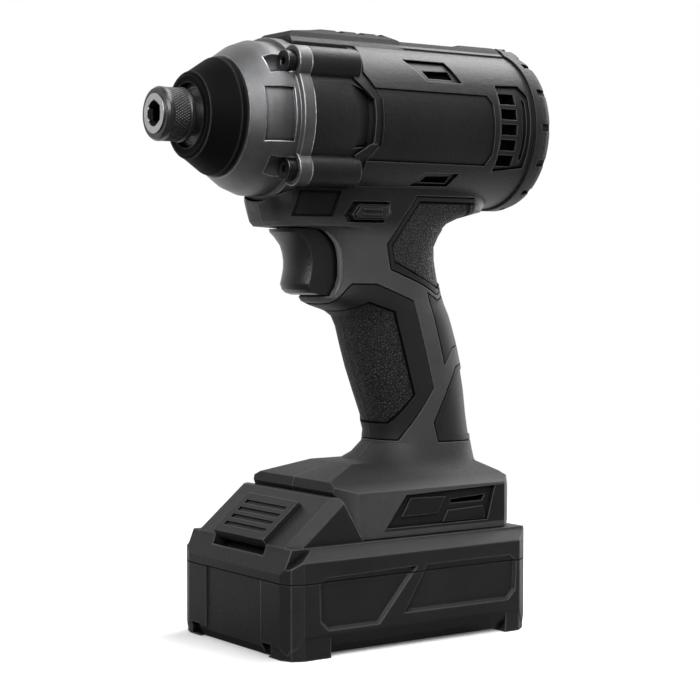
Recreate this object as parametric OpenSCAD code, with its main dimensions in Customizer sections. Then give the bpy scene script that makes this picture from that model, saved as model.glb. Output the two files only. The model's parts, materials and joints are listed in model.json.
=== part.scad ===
// Cordless impact driver with its sliding battery, in millimetres.
// X runs forward, Y to the left, Z up; the origin is the middle of the battery's base.

/* [Layout] */
// Height of the drive axis above the battery's base
axis_z = 202; // [198:1:208]
// Seam between hammer case and housing, ahead of the battery's middle
seam_x = 40; // [38:0.5:42]

/* [Motor housing] */
// Length of the barrel, hammer case seam to rear cover seam
barrel_len = 106.5; // [105:0.5:112]
// Outer radius of the barrel
barrel_r = 32; // [31.5:0.5:35]
// Radius of the barrel's narrower front
front_r = 30.3; // [29.5:0.1:31]
// Step from the barrel down to its forward rim
rim_step = 0.8; // [0.5:0.1:1.2]
// Depth of the side panel below the barrel
panel_depth = 0.6; // [0.3:0.1:1]
// Radius of the four screw bosses
boss_r = 6.4; // [5.6:0.1:7]
// Circle radius on which the hammer case screws stand
screw_circle_r = 30; // [29:0.1:31]
// Angle of those screws from the upright
screw_angle = 48.5; // [45:0.5:50]
// Height of one cooling vent
vent_h = 4.3; // [3:0.1:5]
// Spacing of the cooling vents
vent_pitch = 6.1; // [5.5:0.1:7]
// Depth of the recess around the vents
vent_sink = 1; // [0.5:0.1:1.5]
// Depth of the four slanted side slots
slot_sink = 3; // [1:0.5:4]

/* [Handle] */
// Depth of the handle, front to back
handle_depth = 47; // [44:0.5:50]
// Width of the handle
handle_w = 35; // [32:0.5:38]
// Thickness of the grip pads
pad_t = 1.5; // [1:0.1:2]
// Seam around each grip pad
pad_seam = 0.5; // [0.3:0.05:0.7]
// Border around each pad's sunk field
pad_border = 2.6; // [2:0.1:3]
// Depth of the pads' sunk fields
grain_sink = 0.5; // [0.3:0.1:0.8]

/* [Foot] */
// Height of the foot over the battery
foot_h = 22; // [20:0.5:24]
// Width of the foot
foot_w = 66.4; // [62:0.2:70]
// Depth of the slanted recess in the foot's sides
foot_sink = 1.3; // [0.6:0.1:2]

/* [Rear cover] */
// Length of the rear cover
cover_len = 9; // [8:0.5:12]
// Step of the rear cover beyond the barrel
cover_step = 1; // [0.5:0.1:2]
// Bumper notches around the rear cover
cover_notch_count = 14; // [8:1:18]
// Width of one bumper notch
cover_notch_w = 3; // [2:0.2:4]
// Depth of one bumper notch
cover_notch_d = 1.6; // [0.8:0.1:2]

/* [Hammer case] */
// Length of the hammer case, without its bumper's lip
case_len = 34.5; // [33:0.5:37]
// Radius of the flange
flange_r = 31; // [30.5:0.1:32]
// Thickness of the flange
flange_t = 4.8; // [4:0.1:6]
// Thickness of the four screw ears
ear_t = 5.6; // [5.2:0.1:7]
// Bore of the barrel behind the hammer case
case_bore_r = 27; // [26.6:0.1:27.2]
// Inner radius of the hammer case
case_room_r = 23.6; // [23:0.1:24]
// Depth of the flat side windows in the casting
window_sink = 1.1; // [0.5:0.1:1.2]
// Height of the side windows
window_h = 20; // [16:0.5:24]
// Radius of the ribs ahead of the screws
rib_r = 5.2; // [4.8:0.1:6]
// Sink of the rib's front end below the screw circle
rib_sink = 11; // [9:0.5:13]
// Distance of the ribs inside the screws' circle
rib_in = 2.7; // [2:0.1:4]
// Length of the nose bumper
bumper_len = 13.4; // [12:0.2:14]
// Radius of the bumper at its rear edge
bumper_r = 22.2; // [21:0.2:23]
// Radius of the bumper at its front edge
bumper_tip_r = 16.4; // [16:0.2:18]
// Radius of the opening in the bumper
bumper_bore_r = 12.2; // [11.5:0.1:13]
// Radius of the casting inside the bumper
case_nose_r = 15.5; // [14:0.1:16]

/* [Screws] */
// Head radius of the hammer case screws
case_head_r = 4.2; // [3.5:0.1:4.5]
// Head height of the hammer case screws
case_head_h = 4; // [3:0.1:5]
// Shank radius of the hammer case screws
case_shank_r = 2; // [1.5:0.1:2.5]
// Shank length of the hammer case screws
case_shank_len = 15; // [10:0.5:18]
// Wrench size of the hammer case screws
case_key = 3.2; // [2.5:0.1:4]
// Depth of the wrench socket
case_key_h = 2.2; // [1.5:0.1:2.5]
// Head radius of the housing screws
shell_head_r = 3; // [2.5:0.1:3.4]
// Head height of the housing screws
shell_head_h = 2.4; // [1.8:0.1:3]
// Shank radius of the housing screws
shell_shank_r = 1.5; // [1.2:0.1:1.8]
// Distance of the housing screw heads from the parting plane
shell_head_y = 10; // [8:0.5:12]
// Reach of the housing screws into the left shell
shell_reach = 9; // [6:0.5:11]
// Head radius of the rear cover screws
cover_head_r = 2.2; // [1.8:0.1:2.4]
// Head height of the rear cover screws
cover_head_h = 1.8; // [1.4:0.1:2.2]
// Shank radius of the rear cover screws
cover_shank_r = 1.1; // [0.9:0.1:1.3]
// Shank length of the rear cover screws
cover_shank_len = 14; // [10:0.5:18]
// Head radius of the battery screws
pack_head_r = 2.6; // [2:0.1:2.8]
// Head height of the battery screws
pack_head_h = 2; // [1.5:0.1:2.5]
// Shank radius of the battery screws
pack_shank_r = 1.3; // [1:0.1:1.5]
// Height at which the battery screw heads seat
pack_seat_z = 6; // [4:0.5:8]
// Length of the battery screws' shanks
pack_shank_len = 27; // [24:0.5:29]
// Slot width of the small screws
small_slot = 0.8; // [0.6:0.1:1]
// Slot depth of the small screws
small_slot_d = 0.9; // [0.6:0.1:1.1]

/* [Motor] */
// Distance of the windings behind the gearbox plate
motor_gap = 7.1; // [4:0.1:9]
// Width of one stator tooth
tooth_w = 7.4; // [6:0.1:8]
// Overhang of the windings beyond the laminations
winding_end = 4.3; // [3:0.1:5]
// Half width of one coil
coil_half_w = 6.2; // [5.5:0.1:6.2]
// Stator teeth
stator_teeth = 6; // [6:1:6]
// Opening between neighbouring tooth shoes
tooth_gap = 2; // [1:0.1:3]
// Gap between the rotor and the stator's teeth
air_gap = 0.6; // [0.4:0.05:1]
// Radius of the motor shaft
shaft_r = 2.5; // [2:0.1:3]
// Radius of the cooling fan
fan_r = 24.6; // [22:0.2:25.5]
// Distance of the cooling fan ahead of the rear cover
fan_back = 6.9; // [6:0.1:8]
// Depth of the cooling fan
fan_h = 8.5; // [6:0.5:9.5]
// Fan disc and blade thickness
fan_t = 1.5; // [1:0.1:2]
// Fan blades
fan_blades = 11; // [7:2:13]
// Radius of the fan's hub
fan_hub_r = 6; // [5:0.1:7]
// Outer radius of the rear bearing
rear_bearing_r = 8; // [7:0.1:9]
// Outer radius of the front bearing
front_bearing_r = 7; // [6:0.1:8]
// Width of both motor bearings
bearing_w = 5; // [4:0.1:5.5]

/* [Gears] */
// Tooth module
gear_m = 0.75; // [0.7:0.01:0.78]
// Teeth of the pinion
sun_teeth = 12; // [12:1:12]
// Teeth of each planet
planet_teeth = 18; // [18:1:18]
// Teeth of the ring gear
ring_teeth = 48; // [48:1:48]
// Flank clearance of the teeth
gear_play = 0.08; // [0.05:0.01:0.12]
// Face width of the planets
planet_w = 7.4; // [6:0.1:8]
// Outer radius of the ring gear
ring_r = 22.4; // [21.5:0.1:23]
// Radius of the planet pins
pin_r = 2; // [1.6:0.1:2.4]
// Running clearance of shafts in their bearings
run_gap = 0.06; // [0.03:0.01:0.1]
// End clearance of turning parts
end_gap = 0.4; // [0.3:0.05:0.6]
// Front of the gear train behind the hammer case seam
gear_back = 18.3; // [17:0.1:20]
// Outer radius of the gearbox plate
plate_r = 26.2; // [26:0.1:26.8]

/* [Impact mechanism] */
// Radius of the carrier discs
carrier_r = 15.6; // [15:0.1:16.2]
// Thickness of the front carrier disc
carrier_t = 3.6; // [3:0.1:4.5]
// Thickness of the rear carrier disc
carrier_back_t = 2.7; // [2:0.1:3]
// Radius of the posts between the carrier discs
carrier_post_r = 3; // [2.4:0.1:3.2]
// Radius of the carrier's hub in its bearing
hub_r = 10; // [9:0.1:11]
// Bore of the carrier's hub
hub_bore_r = 6.5; // [5.8:0.1:7]
// Outer radius of the spindle bearing
spindle_bearing_r = 16; // [14:0.1:17]
// Width of the spindle bearing
spindle_bearing_w = 7; // [6:0.1:8]
// Radius of the spindle
spindle_r = 7.5; // [7:0.1:8]
// Radius of the spindle's pilot in the anvil
pilot_r = 4; // [3.5:0.1:4.4]
// Length of the spindle's pilot
pilot_len = 7.6; // [6:0.1:8]
// Outer radius of the hammer
hammer_r = 21; // [19:0.1:22]
// Length of the hammer's body
hammer_len = 17.5; // [16:0.1:18]
// Height of the hammer's and anvil's lugs
lug_h = 4.4; // [4:0.1:5]
// Half angle of one lug
lug_angle = 24; // [18:1:28]
// Depth of the hammer's spring pocket
spring_pocket = 9; // [7:0.1:10]
// Mean radius of the hammer spring
hammer_spring_r = 13.2; // [12.6:0.1:13.6]
// Wire radius of the hammer spring
hammer_wire_r = 1.5; // [1.2:0.05:1.6]
// Turns of the hammer spring
hammer_turns = 4; // [3:1:4]
// Clearance around the hammer spring
spring_room = 1.3; // [1:0.1:1.5]
// Radius of the cam balls
cam_ball_r = 2.2; // [2:0.1:2.4]
// Distance of the cam balls behind the spindle's shoulder
cam_back = 6; // [5:0.1:7]
// Travel of the hammer
hammer_travel = 6; // [5:0.1:6.5]

/* [Anvil and release sleeve] */
// Radius of the anvil
anvil_r = 7.4; // [7:0.05:7.6]
// Front of the anvil ahead of the hammer case seam
anvil_reach = 51.5; // [50:0.5:53]
// Hex socket across flats
hex_flats = 6.45; // [6.35:0.05:6.6]
// Depth of the hex socket
hex_depth = 25; // [22:0.5:26]
// Radius of the socket's lead-in
lead_r = 5.3; // [4.6:0.1:5.8]
// Depth of the socket's lead-in
lead_d = 2; // [1.5:0.1:2.5]
// Radius of the anvil's hub behind the bush
anvil_hub_r = 8.8; // [8.4:0.1:9]
// Outer radius of the anvil bush
bush_r = 10.4; // [9.8:0.1:11]
// Length of the anvil bush
bush_len = 12; // [10:0.1:12.2]
// Outer radius of the release sleeve
sleeve_r = 10.2; // [9.8:0.1:11]
// Length of the release sleeve
sleeve_len = 12.4; // [11.5:0.1:13]
// Setback of the sleeve behind the anvil's face
sleeve_back = 0.5; // [0.3:0.1:1]
// Bevel of the sleeve's ends
sleeve_bevel = 0.9; // [0.5:0.1:1.2]
// Travel of the release sleeve
sleeve_travel = 3; // [2.5:0.1:3.2]
// Radius of the sleeve's spring chamber
chamber_r = 9.2; // [9:0.05:9.3]
// Radius of the retention balls
chuck_ball_r = 1.75; // [1.6:0.05:1.8]
// Distance of the retention balls behind the anvil's face
chuck_ball_back = 9; // [8.8:0.1:9.2]
// Width of the sleeve's inner shoulder
shoulder_w = 3; // [2.8:0.1:3.2]
// Thickness of the sleeve's washer
washer_t = 0.7; // [0.6:0.05:0.9]
// Thickness of the retaining ring
clip_t = 0.8; // [0.6:0.05:0.9]
// Depth of the retaining ring's groove
clip_groove = 0.5; // [0.4:0.05:0.6]
// Wire radius of the sleeve spring
sleeve_wire_r = 0.35; // [0.3:0.02:0.4]
// Turns of the sleeve spring
sleeve_turns = 3; // [2:1:4]

/* [Trigger and switch] */
// Width of the trigger
trigger_w = 20; // [17:0.5:22]
// Height of the trigger
trigger_h = 25.6; // [23:0.2:26]
// Depth of the trigger, tip to back
trigger_d = 25.6; // [24:0.2:27]
// Travel of the trigger
trigger_travel = 6; // [4:0.5:7]
// Clearance around the trigger
trigger_gap = 0.5; // [0.3:0.1:0.8]
// Width of the trigger's stem
stem_w = 8; // [6:0.5:10]
// Height of the trigger's stem
stem_h = 7; // [5:0.5:9]
// Length of the trigger's stem
stem_len = 11; // [9:0.5:12]
// Length of the switch body
switch_l = 27; // [24:0.5:30]
// Width of the switch body
switch_w = 19; // [16:0.5:21]
// Height of the switch body
switch_h = 22; // [18:0.5:23]

/* [Direction selector] */
// Length of the selector's buttons
selector_l = 18; // [16:0.2:19]
// Height of the selector's buttons
selector_h = 6; // [5:0.1:6.4]
// Width of the selector, face to face
selector_w = 42; // [40:0.2:44]
// Throw of the selector to each side
selector_throw = 2.5; // [2:0.1:3]
// Clearance around the selector
selector_gap = 0.4; // [0.3:0.05:0.6]
// Length of the recess around the selector
selector_recess_l = 22.4; // [21:0.2:24]
// Height of the recess around the selector
selector_recess_h = 8.2; // [7:0.1:9]
// Distance of the recess floor from the parting plane
selector_floor_y = 17; // [16:0.2:18]
// Bevel of the selector's faces
selector_bevel = 0.8; // [0.4:0.1:1.2]
// Height of the selector's two finger lines
selector_rib = 0.4; // [0.2:0.05:0.6]
// Width of one finger line
selector_rib_w = 0.7; // [0.4:0.1:1]

/* [Battery] */
// Length of the battery
battery_l = 116; // [113:1:120]
// Width of the battery
battery_w = 80; // [78:0.2:84]
// Height of the battery's shoulders
pack_h = 41.2; // [41:0.2:44]
// Height of the case's split line
split_z = 28.5; // [26:0.5:30]
// Gap between the battery and the foot
pack_gap = 0.4; // [0.3:0.05:0.6]
// Wall of the battery case
pack_wall = 2; // [1.8:0.1:2.1]
// Depth of the panels in the battery's sides
pack_panel = 1.2; // [0.6:0.1:1.4]
// Width of the sloped border inside each panel
pack_border = 2.2; // [1.5:0.1:3]
// Height of the base between the corner pads
base_lift = 1; // [0.5:0.1:1.5]
// Height of the battery's nose above the base
nose_z = 58.4; // [57:0.2:60]
// Top edge of the nose ahead of the battery's middle
nose_x = 33.5; // [33:0.5:36]
// Slope of the nose
slope_angle = 39.3; // [37:0.1:41]
// Half width of the nose's sloped face
nose_half_w = 30.5; // [28:0.5:32]
// Bevel of the nose's sides
nose_bevel = 3.8; // [2:0.1:5]
// Half width of the guide block under the foot
guide_half_w = 21.5; // [20:0.5:23]
// Height of the guide block
guide_h = 11.4; // [11:0.1:11.8]
// Rear end of the guide block behind the battery's middle
guide_back = 40; // [38:0.5:42]
// Depth of the guide rails
rail_d = 3; // [2:0.1:4]
// Height of the guide rails
rail_h = 3; // [2.5:0.1:3.5]
// Height of the guide rails above the shoulders
rail_lift = 3.3; // [3:0.1:4]
// Clearance of the guide rails
rail_gap = 0.4; // [0.3:0.05:0.5]
// Radius of one cell
cell_r = 9.1; // [8.8:0.05:9.15]
// Distance of the cells' ends from the battery's sides
cell_side = 7.5; // [6:0.1:9]
// Cells in one row
cell_row = 5; // [5:1:5]
// Spacing of the cells along the battery
cell_pitch = 19; // [18.8:0.1:19.2]
// Spacing of the two layers of cells
layer_pitch = 18.6; // [18.5:0.05:18.8]
// Thickness of one cell holder
holder_t = 6; // [4:0.5:8]
// Thickness of the cell straps
strap_t = 0.5; // [0.3:0.1:0.8]
// Width of the cell straps
strap_w = 9; // [7:0.5:12]
// Half width of the battery board
pack_board_half_w = 16; // [14:0.5:17]
// Thickness of both circuit boards
board_t = 1.6; // [1.2:0.1:2]
// Thickness of one contact blade
blade_t = 0.8; // [0.6:0.1:1]
// Height of one contact blade
blade_h = 4; // [3:0.1:4.4]
// Length of one contact blade
blade_len = 19; // [16:0.5:20]
// Spacing of the contact blades
blade_pitch = 10; // [8:0.5:11]
// Thickness of one contact clip leaf
clip_leaf = 0.6; // [0.4:0.1:0.8]
// Length of one contact clip
clip_len = 9; // [7:0.5:10]
// Length of the terminal block
block_l = 6; // [5:0.5:7]
// Height of the room over the control board
control_room = 4; // [3:0.1:4.5]
// Half width of the terminal block
block_half_w = 17; // [14:0.5:20]

/* [Battery latch] */
// Half width of the release button
latch_half_w = 18; // [16:0.5:20]
// Length of the release button along the slope
latch_l = 21; // [18:0.5:22]
// Distance of the release button below the nose's top edge
latch_down = 6; // [5:0.2:7]
// Height of the release button above the slope
latch_rise = 2.2; // [1.5:0.1:3]
// Thickness of the release button
latch_t = 4.4; // [4:0.1:4.8]
// Travel of the release button
latch_travel = 4; // [3:0.1:4]
// Clearance around the release button
latch_gap = 0.4; // [0.3:0.05:0.6]
// Finger ridges on the release button
latch_ridges = 3; // [2:1:4]
// Height of the finger ridges
latch_ridge_h = 0.6; // [0.4:0.1:1]
// Spacing of the finger ridges
latch_ridge_pitch = 4; // [3:0.1:5]
// Half width of the latch tongue
tongue_half_w = 8; // [6:0.5:10]
// Thickness of the latch tongue
tongue_t = 4; // [3:0.1:5]
// Height of the latch tongue above the guide block
tongue_rise = 2.8; // [2:0.1:3]
// Front of the latch tongue ahead of the battery's middle
tongue_x = 19.5; // [18:0.5:20]
// Thickness of the latch arm
arm_t = 2.8; // [2:0.1:3]
// Mean radius of the latch spring
latch_spring_r = 2.2; // [1.8:0.1:2.4]
// Wire radius of the latch spring
latch_wire_r = 0.4; // [0.3:0.05:0.45]
// Turns of the latch spring
latch_turns = 4; // [3:1:5]

/* [Hidden] */
$fn = 64;

// Overrun of cuts past a face
cut = 1;
// A reach longer than the tool
span = 320;
// Points around half of a handle section
ring_n = 18;

// Stations along the drive axis
barrel_rear_x = seam_x - barrel_len;
gear_x1 = seam_x - gear_back;
gear_x0 = gear_x1 - planet_w;
carrier_x1 = gear_x1 + end_gap;
carrier_x2 = carrier_x1 + carrier_t;
carrier_x0 = gear_x0 - end_gap;
hub_x1 = carrier_x0 - carrier_back_t;
hub_x0 = hub_x1 - spindle_bearing_w;
ring_x0 = carrier_x0 - 2 * end_gap;
ring_x1 = carrier_x1 + 2 * end_gap;
front_bearing_x1 = hub_x0 - 2 * end_gap;
front_bearing_x0 = front_bearing_x1 - bearing_w;
rear_bearing_x1 = barrel_rear_x + end_gap;
rear_bearing_x0 = rear_bearing_x1 - bearing_w;
fan_x0 = barrel_rear_x + fan_back;
fan_x1 = fan_x0 + fan_h;
stator_x0 = fan_x1 + 2 * end_gap + winding_end;
stator_x1 = front_bearing_x0 - motor_gap - winding_end;
stator_len = stator_x1 - stator_x0;
case_front_x = seam_x + case_len;
seat_x = seam_x + ear_t - end_gap;
bush_x1 = case_front_x;
bush_x0 = bush_x1 - bush_len;
anvil_x0 = bush_x0 - end_gap - lug_h - 2 * end_gap;
anvil_x1 = seam_x + anvil_reach;
lug_x1 = bush_x0 - 2 * end_gap;
spindle_x1 = anvil_x0 - end_gap;
hammer_x1 = anvil_x0 - end_gap;
hammer_x0 = hammer_x1 - hammer_len;
pocket_x1 = hammer_x0 + spring_pocket;
cam_x = spindle_x1 - cam_back;
sleeve_x1 = anvil_x1 - sleeve_back;
sleeve_x0 = sleeve_x1 - sleeve_len;
chuck_ball_x = anvil_x1 - chuck_ball_back;
shoulder_x0 = chuck_ball_x - shoulder_w / 2;
shoulder_x1 = chuck_ball_x + shoulder_w / 2;
clip_x0 = sleeve_x1 - clip_t;
washer_x0 = clip_x0 - washer_t;
// Radii of the motor and of the gear train
stator_share = 0.8;
stator_bore_share = 0.5625;
stator_r = stator_share * barrel_r;
stator_bore_r = stator_bore_share * stator_r;
rotor_r = stator_bore_r - air_gap;
cover_r = barrel_r + cover_step;
sun_r = gear_m * sun_teeth / 2;
planet_r = gear_m * planet_teeth / 2;
ring_pitch_r = gear_m * ring_teeth / 2;
orbit_r = sun_r + planet_r;
pressure_angle = 25;
// Addendum and dedendum as shares of the module
tip_share = 1;
root_share = 1.25;
ring_tip_share = 0.9;

// Heights
foot_z0 = pack_h + pack_gap;
shoulder_share = 0.82;
handle_z0 = foot_z0 + shoulder_share * foot_h;
handle_top_share = 0.75;
handle_h = axis_z - handle_top_share * barrel_r - handle_z0;

// Handle sections from the foot up: height, front, rear, width and squareness
handle_shares = [
  [0, 0.5, -1.11, 1.69, 6], [0.021, 0.38, -1.11, 1.5, 5], [0.042, 0.21, -1.112, 1.3, 4],
  [0.065, 0.06, -1.122, 1.155, 3.2], [0.093, -0.065, -1.135, 1.05, 2.8], [0.131, -0.155, -1.135, 0.985, 2.5],
  [0.169, -0.16, -1.125, 0.966, 2.4], [0.215, -0.12, -1.11, 0.96, 2.35], [0.3, -0.035, -1.085, 0.97, 2.35],
  [0.384, 0.045, -1.045, 0.983, 2.35], [0.46, 0.1, -0.99, 0.994, 2.4], [0.527, 0.145, -0.932, 1, 2.4],
  [0.561, 0.19, -0.9, 1, 2.4], [0.583, 0.277, -0.875, 1, 2.4], [0.598, 0.404, -0.858, 1, 2.45],
  [0.612, 0.485, -0.845, 1, 2.5], [0.625, 0.51, -0.832, 1.003, 2.5], [0.64, 0.49, -0.815, 1.005, 2.55],
  [0.659, 0.443, -0.795, 1.008, 2.6], [0.696, 0.4, -0.757, 1.017, 2.8], [0.747, 0.387, -0.717, 1.034, 3],
  [0.793, 0.4, -0.702, 1.057, 3.2], [0.827, 0.447, -0.74, 1.074, 3.4], [0.851, 0.553, -0.785, 1.086, 3.5],
  [0.859, 0.915, -0.802, 1.091, 3.6], [0.873, 0.949, -0.842, 1.097, 3.7], [0.895, 0.966, -0.98, 1.103, 3.8],
  [0.916, 0.979, -1.2, 1.109, 4], [0.941, 0.996, -1.245, 1.114, 4], [1, 0.996, -1.245, 1.114, 4]];

// Grip pad outlines, shares of the handle's depth and height
front_pad_shares = [[0.257, 0.672], [0.04, 0.671], [-0.345, 0.614], [-0.57, 0.315], [-0.264, 0.14],
  [0.64, 0.14], [0.64, 0.587], [0.41, 0.608]];
grain_shares = [[0.28, 0.573], [0.11, 0.608], [-0.15, 0.576], [-0.37, 0.296], [-0.19, 0.2], [0.66, 0.2],
  [0.66, 0.567]];
web_pad_shares = [[-0.34, 0.963], [-0.036, 0.8], [-0.087, 0.715], [-0.453, 0.662], [-0.643, 0.628],
  [-0.98, 0.69], [-1, 0.86], [-1, 0.963]];
// Sunk patch beside the selector
chin_shares = [[0.44, 0.968], [0.8, 0.968], [0.85, 0.89], [0.52, 0.89]];
heel_pad_shares = [[-0.5, 0.643], [-0.685, 0.39], [-0.8, 0.446], [-1.3, 0.49], [-1.3, 0.66], [-0.98, 0.67],
  [-0.65, 0.615]];
tail_pad_shares = [[-0.84, 0.386], [-0.723, 0.318], [-0.564, 0.2], [-0.606, 0.131], [-1.3, 0.123],
  [-1.3, 0.43]];

// Barrel outlines, shares of its length and of its radius
rim_shares = [[0.25, 1.3], [0.25, 0.92], [0.184, 0.47], [0.257, 0.22], [0.257, -0.29], [0.187, -0.44],
  [0.215, -0.82], [0.215, -1.3], [1, -1.3], [1, 1.3]];
body_shares = [[0.275, 1.3], [0.275, 0.9], [0.232, 0.55], [0.286, 0.24], [0.289, -0.3], [0.24, -0.5],
  [0.24, -1.3], [1, -1.3], [1, 1.3]];
panel_shares = [[0.24, 0.365], [0.777, 0.365], [0.8, 0.26], [0.806, -0.37], [0.784, -0.505], [0.21, -0.505],
  [0.24, -0.48], [0.29, -0.3], [0.287, 0.24]];
exhaust_shares = [[0.17, 0.4], [0.275, 0.26], [0.275, -0.33], [0.17, -0.36]];
outlet_shares = [[0.248, 0.24], [0.275, 0.24], [0.275, -0.31], [0.248, -0.31]];
vent_band_shares = [[0.83, 0.5], [0.946, 0.515], [0.978, 0.39], [0.972, -0.51], [0.83, -0.57]];
rear_slot_shares = [[0.95, 0.36], [0.965, 0.3], [0.96, -0.38], [0.944, -0.44]];
top_slot_shares = [[0.515, 0.622], [0.639, 0.637], [0.643, 0.53], [0.53, 0.528]];
top_recess_shares = [[0.445, 0.76], [0.64, 0.76], [0.675, 0.495], [0.51, 0.495]];
low_recess_shares = [[0.52, -0.615], [0.68, -0.61], [0.655, -0.765], [0.48, -0.775]];
low_slot_shares = [[0.526, -0.722], [0.538, -0.65], [0.649, -0.64], [0.649, -0.722]];
spine_side_shares = [[0.008, 0.7], [0.008, 0.98], [0.03, 1.05], [0.12, 1.08], [0.18, 1.112],
  [0.46, 1.112], [0.505, 1.02], [0.505, 0.7]];
spine_end_shares = [[-0.42, 0.7], [0.42, 0.7], [0.42, 0.91], [0.32, 1.04], [0.17, 1.112], [-0.17, 1.112],
  [-0.32, 1.04], [-0.42, 0.91]];
tail_side_shares = [[0.45, 0.7], [0.49, 1.03], [0.8, 1.03], [0.82, 1.065], [0.985, 1.065], [0.985, 0.7]];
tail_end_shares = [[-0.4, 0.7], [0.4, 0.7], [0.4, 0.94], [0.3, 1.02], [0.2, 1.065], [-0.2, 1.065],
  [-0.3, 1.02], [-0.4, 0.94]];
cover_top_shares = [[1.003, 0.7], [1.003, 1.065], [1.05, 1.065], [1.07, 0.98], [1.07, 0.7]];
groove_x_shares = [0.2, 0.29, 0.38];
groove_w_share = 0.03;
groove_slant_share = 0.05;
groove_floor_share = 1.085;
groove_top_share = 1.3;
vent_x_shares = [0.842, 0.918];
vent_z_share = -0.047;
vent_count = 5;
boss_back_share = 0.21;

// Foot outlines, shares of the battery's half sizes and of the foot's height
foot_side_shares = [[0.345, 0], [0.5275, 0.84], [0.51, 1], [0.207, 1.22], [-0.776, 1.22], [-0.914, 0.98],
  [-0.983, 0.7], [-0.983, 0.07], [-0.957, 0]];
foot_end_shares = [[0, 0], [1, 0], [1, 0.815], [0.7, 1.03], [0.43, 1.22], [0, 1.22]];
foot_plan_shares = [[0.62, 0], [0.62, 0.66], [0.564, 0.8], [0.383, 1], [-0.86, 1], [-0.98, 0.8], [-0.98, 0]];
foot_recess_shares = [[-0.007, 0.72], [-0.775, 0.765], [-0.708, 0.155], [0.159, 0.155]];
foot_tab_1_shares = [[-0.054, 0.655], [-0.351, 0.635], [-0.282, 0.345], [0.022, 0.335]];
foot_tab_2_shares = [[-0.368, 0.38], [-0.675, 0.41], [-0.703, 0.165], [-0.325, 0.18]];
foot_slot_shares = [[-0.402, 0.57], [-0.699, 0.605], [-0.675, 0.5], [-0.394, 0.5]];
tab_share = 0.55;

// Battery outlines, shares of its half sizes and shoulder height
pack_plan_shares = [[1, 0.82], [0.967, 0.945], [0.89, 1], [-0.9, 1], [-1, 0.89]];
pack_end_shares = [[0, 0], [0.86, 0], [0.965, 0.12], [1, 0.22], [1, 0.885], [0.885, 0.98], [0.885, 1],
  [0, 1]];
pack_side_shares = [[0.955, 0], [1, 0.11], [1, 0.78], [0.935, 1], [0.92, 1.2], [-1, 1.2], [-1, 0.14],
  [-0.945, 0]];
brow_shares = [[0.785, 1.05], [0.785, 0.985], [1.02, 0.79], [1.1, 0.79], [1.1, 1.05]];
panel_a_shares = [[0.776, 0.68], [0.72, 0.74], [-0.03, 0.76], [0.296, 0.245], [0.705, 0.245], [0.77, 0.33]];
panel_b_shares = [[-0.09, 0.76], [-0.81, 0.76], [-0.876, 0.69], [-0.867, 0.4], [-0.8, 0.31], [0.108, 0.315]];
slope_share = 0.55;
pad_side_share = 0.62;
pad_h_share = 0.2;
pad_front_shares = [0.68, 0.815];
pad_rear_shares = [-0.97, -0.78];
nose_side_shares = [[0.372, 0.85], [0.372, 1], [0.562, 1.43], [0.604, 1.43], [1.02, 0.97], [1.02, 0.85]];
notch_y_shares = [-0.78, 0.5];
front_panel_share = 0.49;
notch_x_share = 0.95;
base_w_share = 0.6;
base_pad_share = 0.45;
screw_x_share = 0.885;
screw_y_share = 0.68;

// Housing screw places, shares of the handle's depth and height
shell_screw_shares = [[0.72, 0.9], [-0.95, 0.962], [-0.55, 0.45], [-0.575, 0.27], [-0.42, 0.115]];
// Front of the trigger: shares of its height and depth
trigger_shares = [[0, 0.55], [0.03, 0.65], [0.08, 0.71], [0.165, 0.74], [0.286, 0.71], [0.407, 0.685],
  [0.524, 0.684], [0.645, 0.705], [0.762, 0.75], [0.883, 0.853], [0.95, 0.93], [1, 0.945]];
trigger_round_share = 0.31;
trigger_x_share = 0.3;
trigger_z_share = 0.634;
stem_z_share = 0.5;
switch_x_share = 0.16;
switch_z_share = 0.655;
selector_x_share = 0.145;
selector_z_share = 0.905;
selector_recess_x_share = 0.17;
selector_shares = [[0.85, -1], [1, -0.33], [0.62, 1], [-0.94, 1], [-1, 0], [-0.7, -1]];

// Outline points from their shares
function barrel_pts(s) = [for (p = s) [seam_x - p[0] * barrel_len, axis_z + p[1] * barrel_r]];
function barrel_end_pts(s) = [for (p = s) [p[0] * barrel_r, axis_z + p[1] * barrel_r]];
function hx(s) = s * handle_depth;
function hz(s) = handle_z0 + s * handle_h;
function handle_pts(s) = [for (p = s) [hx(p[0]), hz(p[1])]];
function bx(s) = s * battery_l / 2;
function by(s) = s * battery_w / 2;
function foot_pts(s) = [for (p = s) [bx(p[0]), foot_z0 + p[1] * foot_h]];
function foot_end_pts(s) = [for (p = s) [p[0] * foot_w / 2, foot_z0 + p[1] * foot_h]];
function foot_plan_pts(s) = [for (p = s) [bx(p[0]), p[1] * foot_w / 2]];
function pack_pts(s) = [for (p = s) [bx(p[0]), p[1] * pack_h]];
function pack_end_pts(s) = [for (p = s) [by(p[0]), p[1] * pack_h]];
function both(p) = concat(p, [for (i = [len(p) - 1:-1:0]) [-p[i][0], p[i][1]]]);
function both_y(p) = concat(p, [for (i = [len(p) - 1:-1:0]) [p[i][0], -p[i][1]]]);
function inner_normal(a, b) = [a[1] - b[1], b[0] - a[0]] / norm(b - a);
function turn(p) = [for (i = [0:len(p) - 1]) let (q = p[(i + 1) % len(p)]) p[i][0] * q[1] - q[0] * p[i][1]];
function total(v, i = 0) = i < len(v) ? v[i] + total(v, i + 1) : 0;
function inset(p, d) = let (n = len(p), k = sign(total(turn(p)))) [for (i = [0:n - 1])
  let (b = p[i], u = inner_normal(p[(i + n - 1) % n], b), v = inner_normal(b, p[(i + 1) % n]))
  b + k * d * (u + v) / (1 + u * v)];

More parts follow.
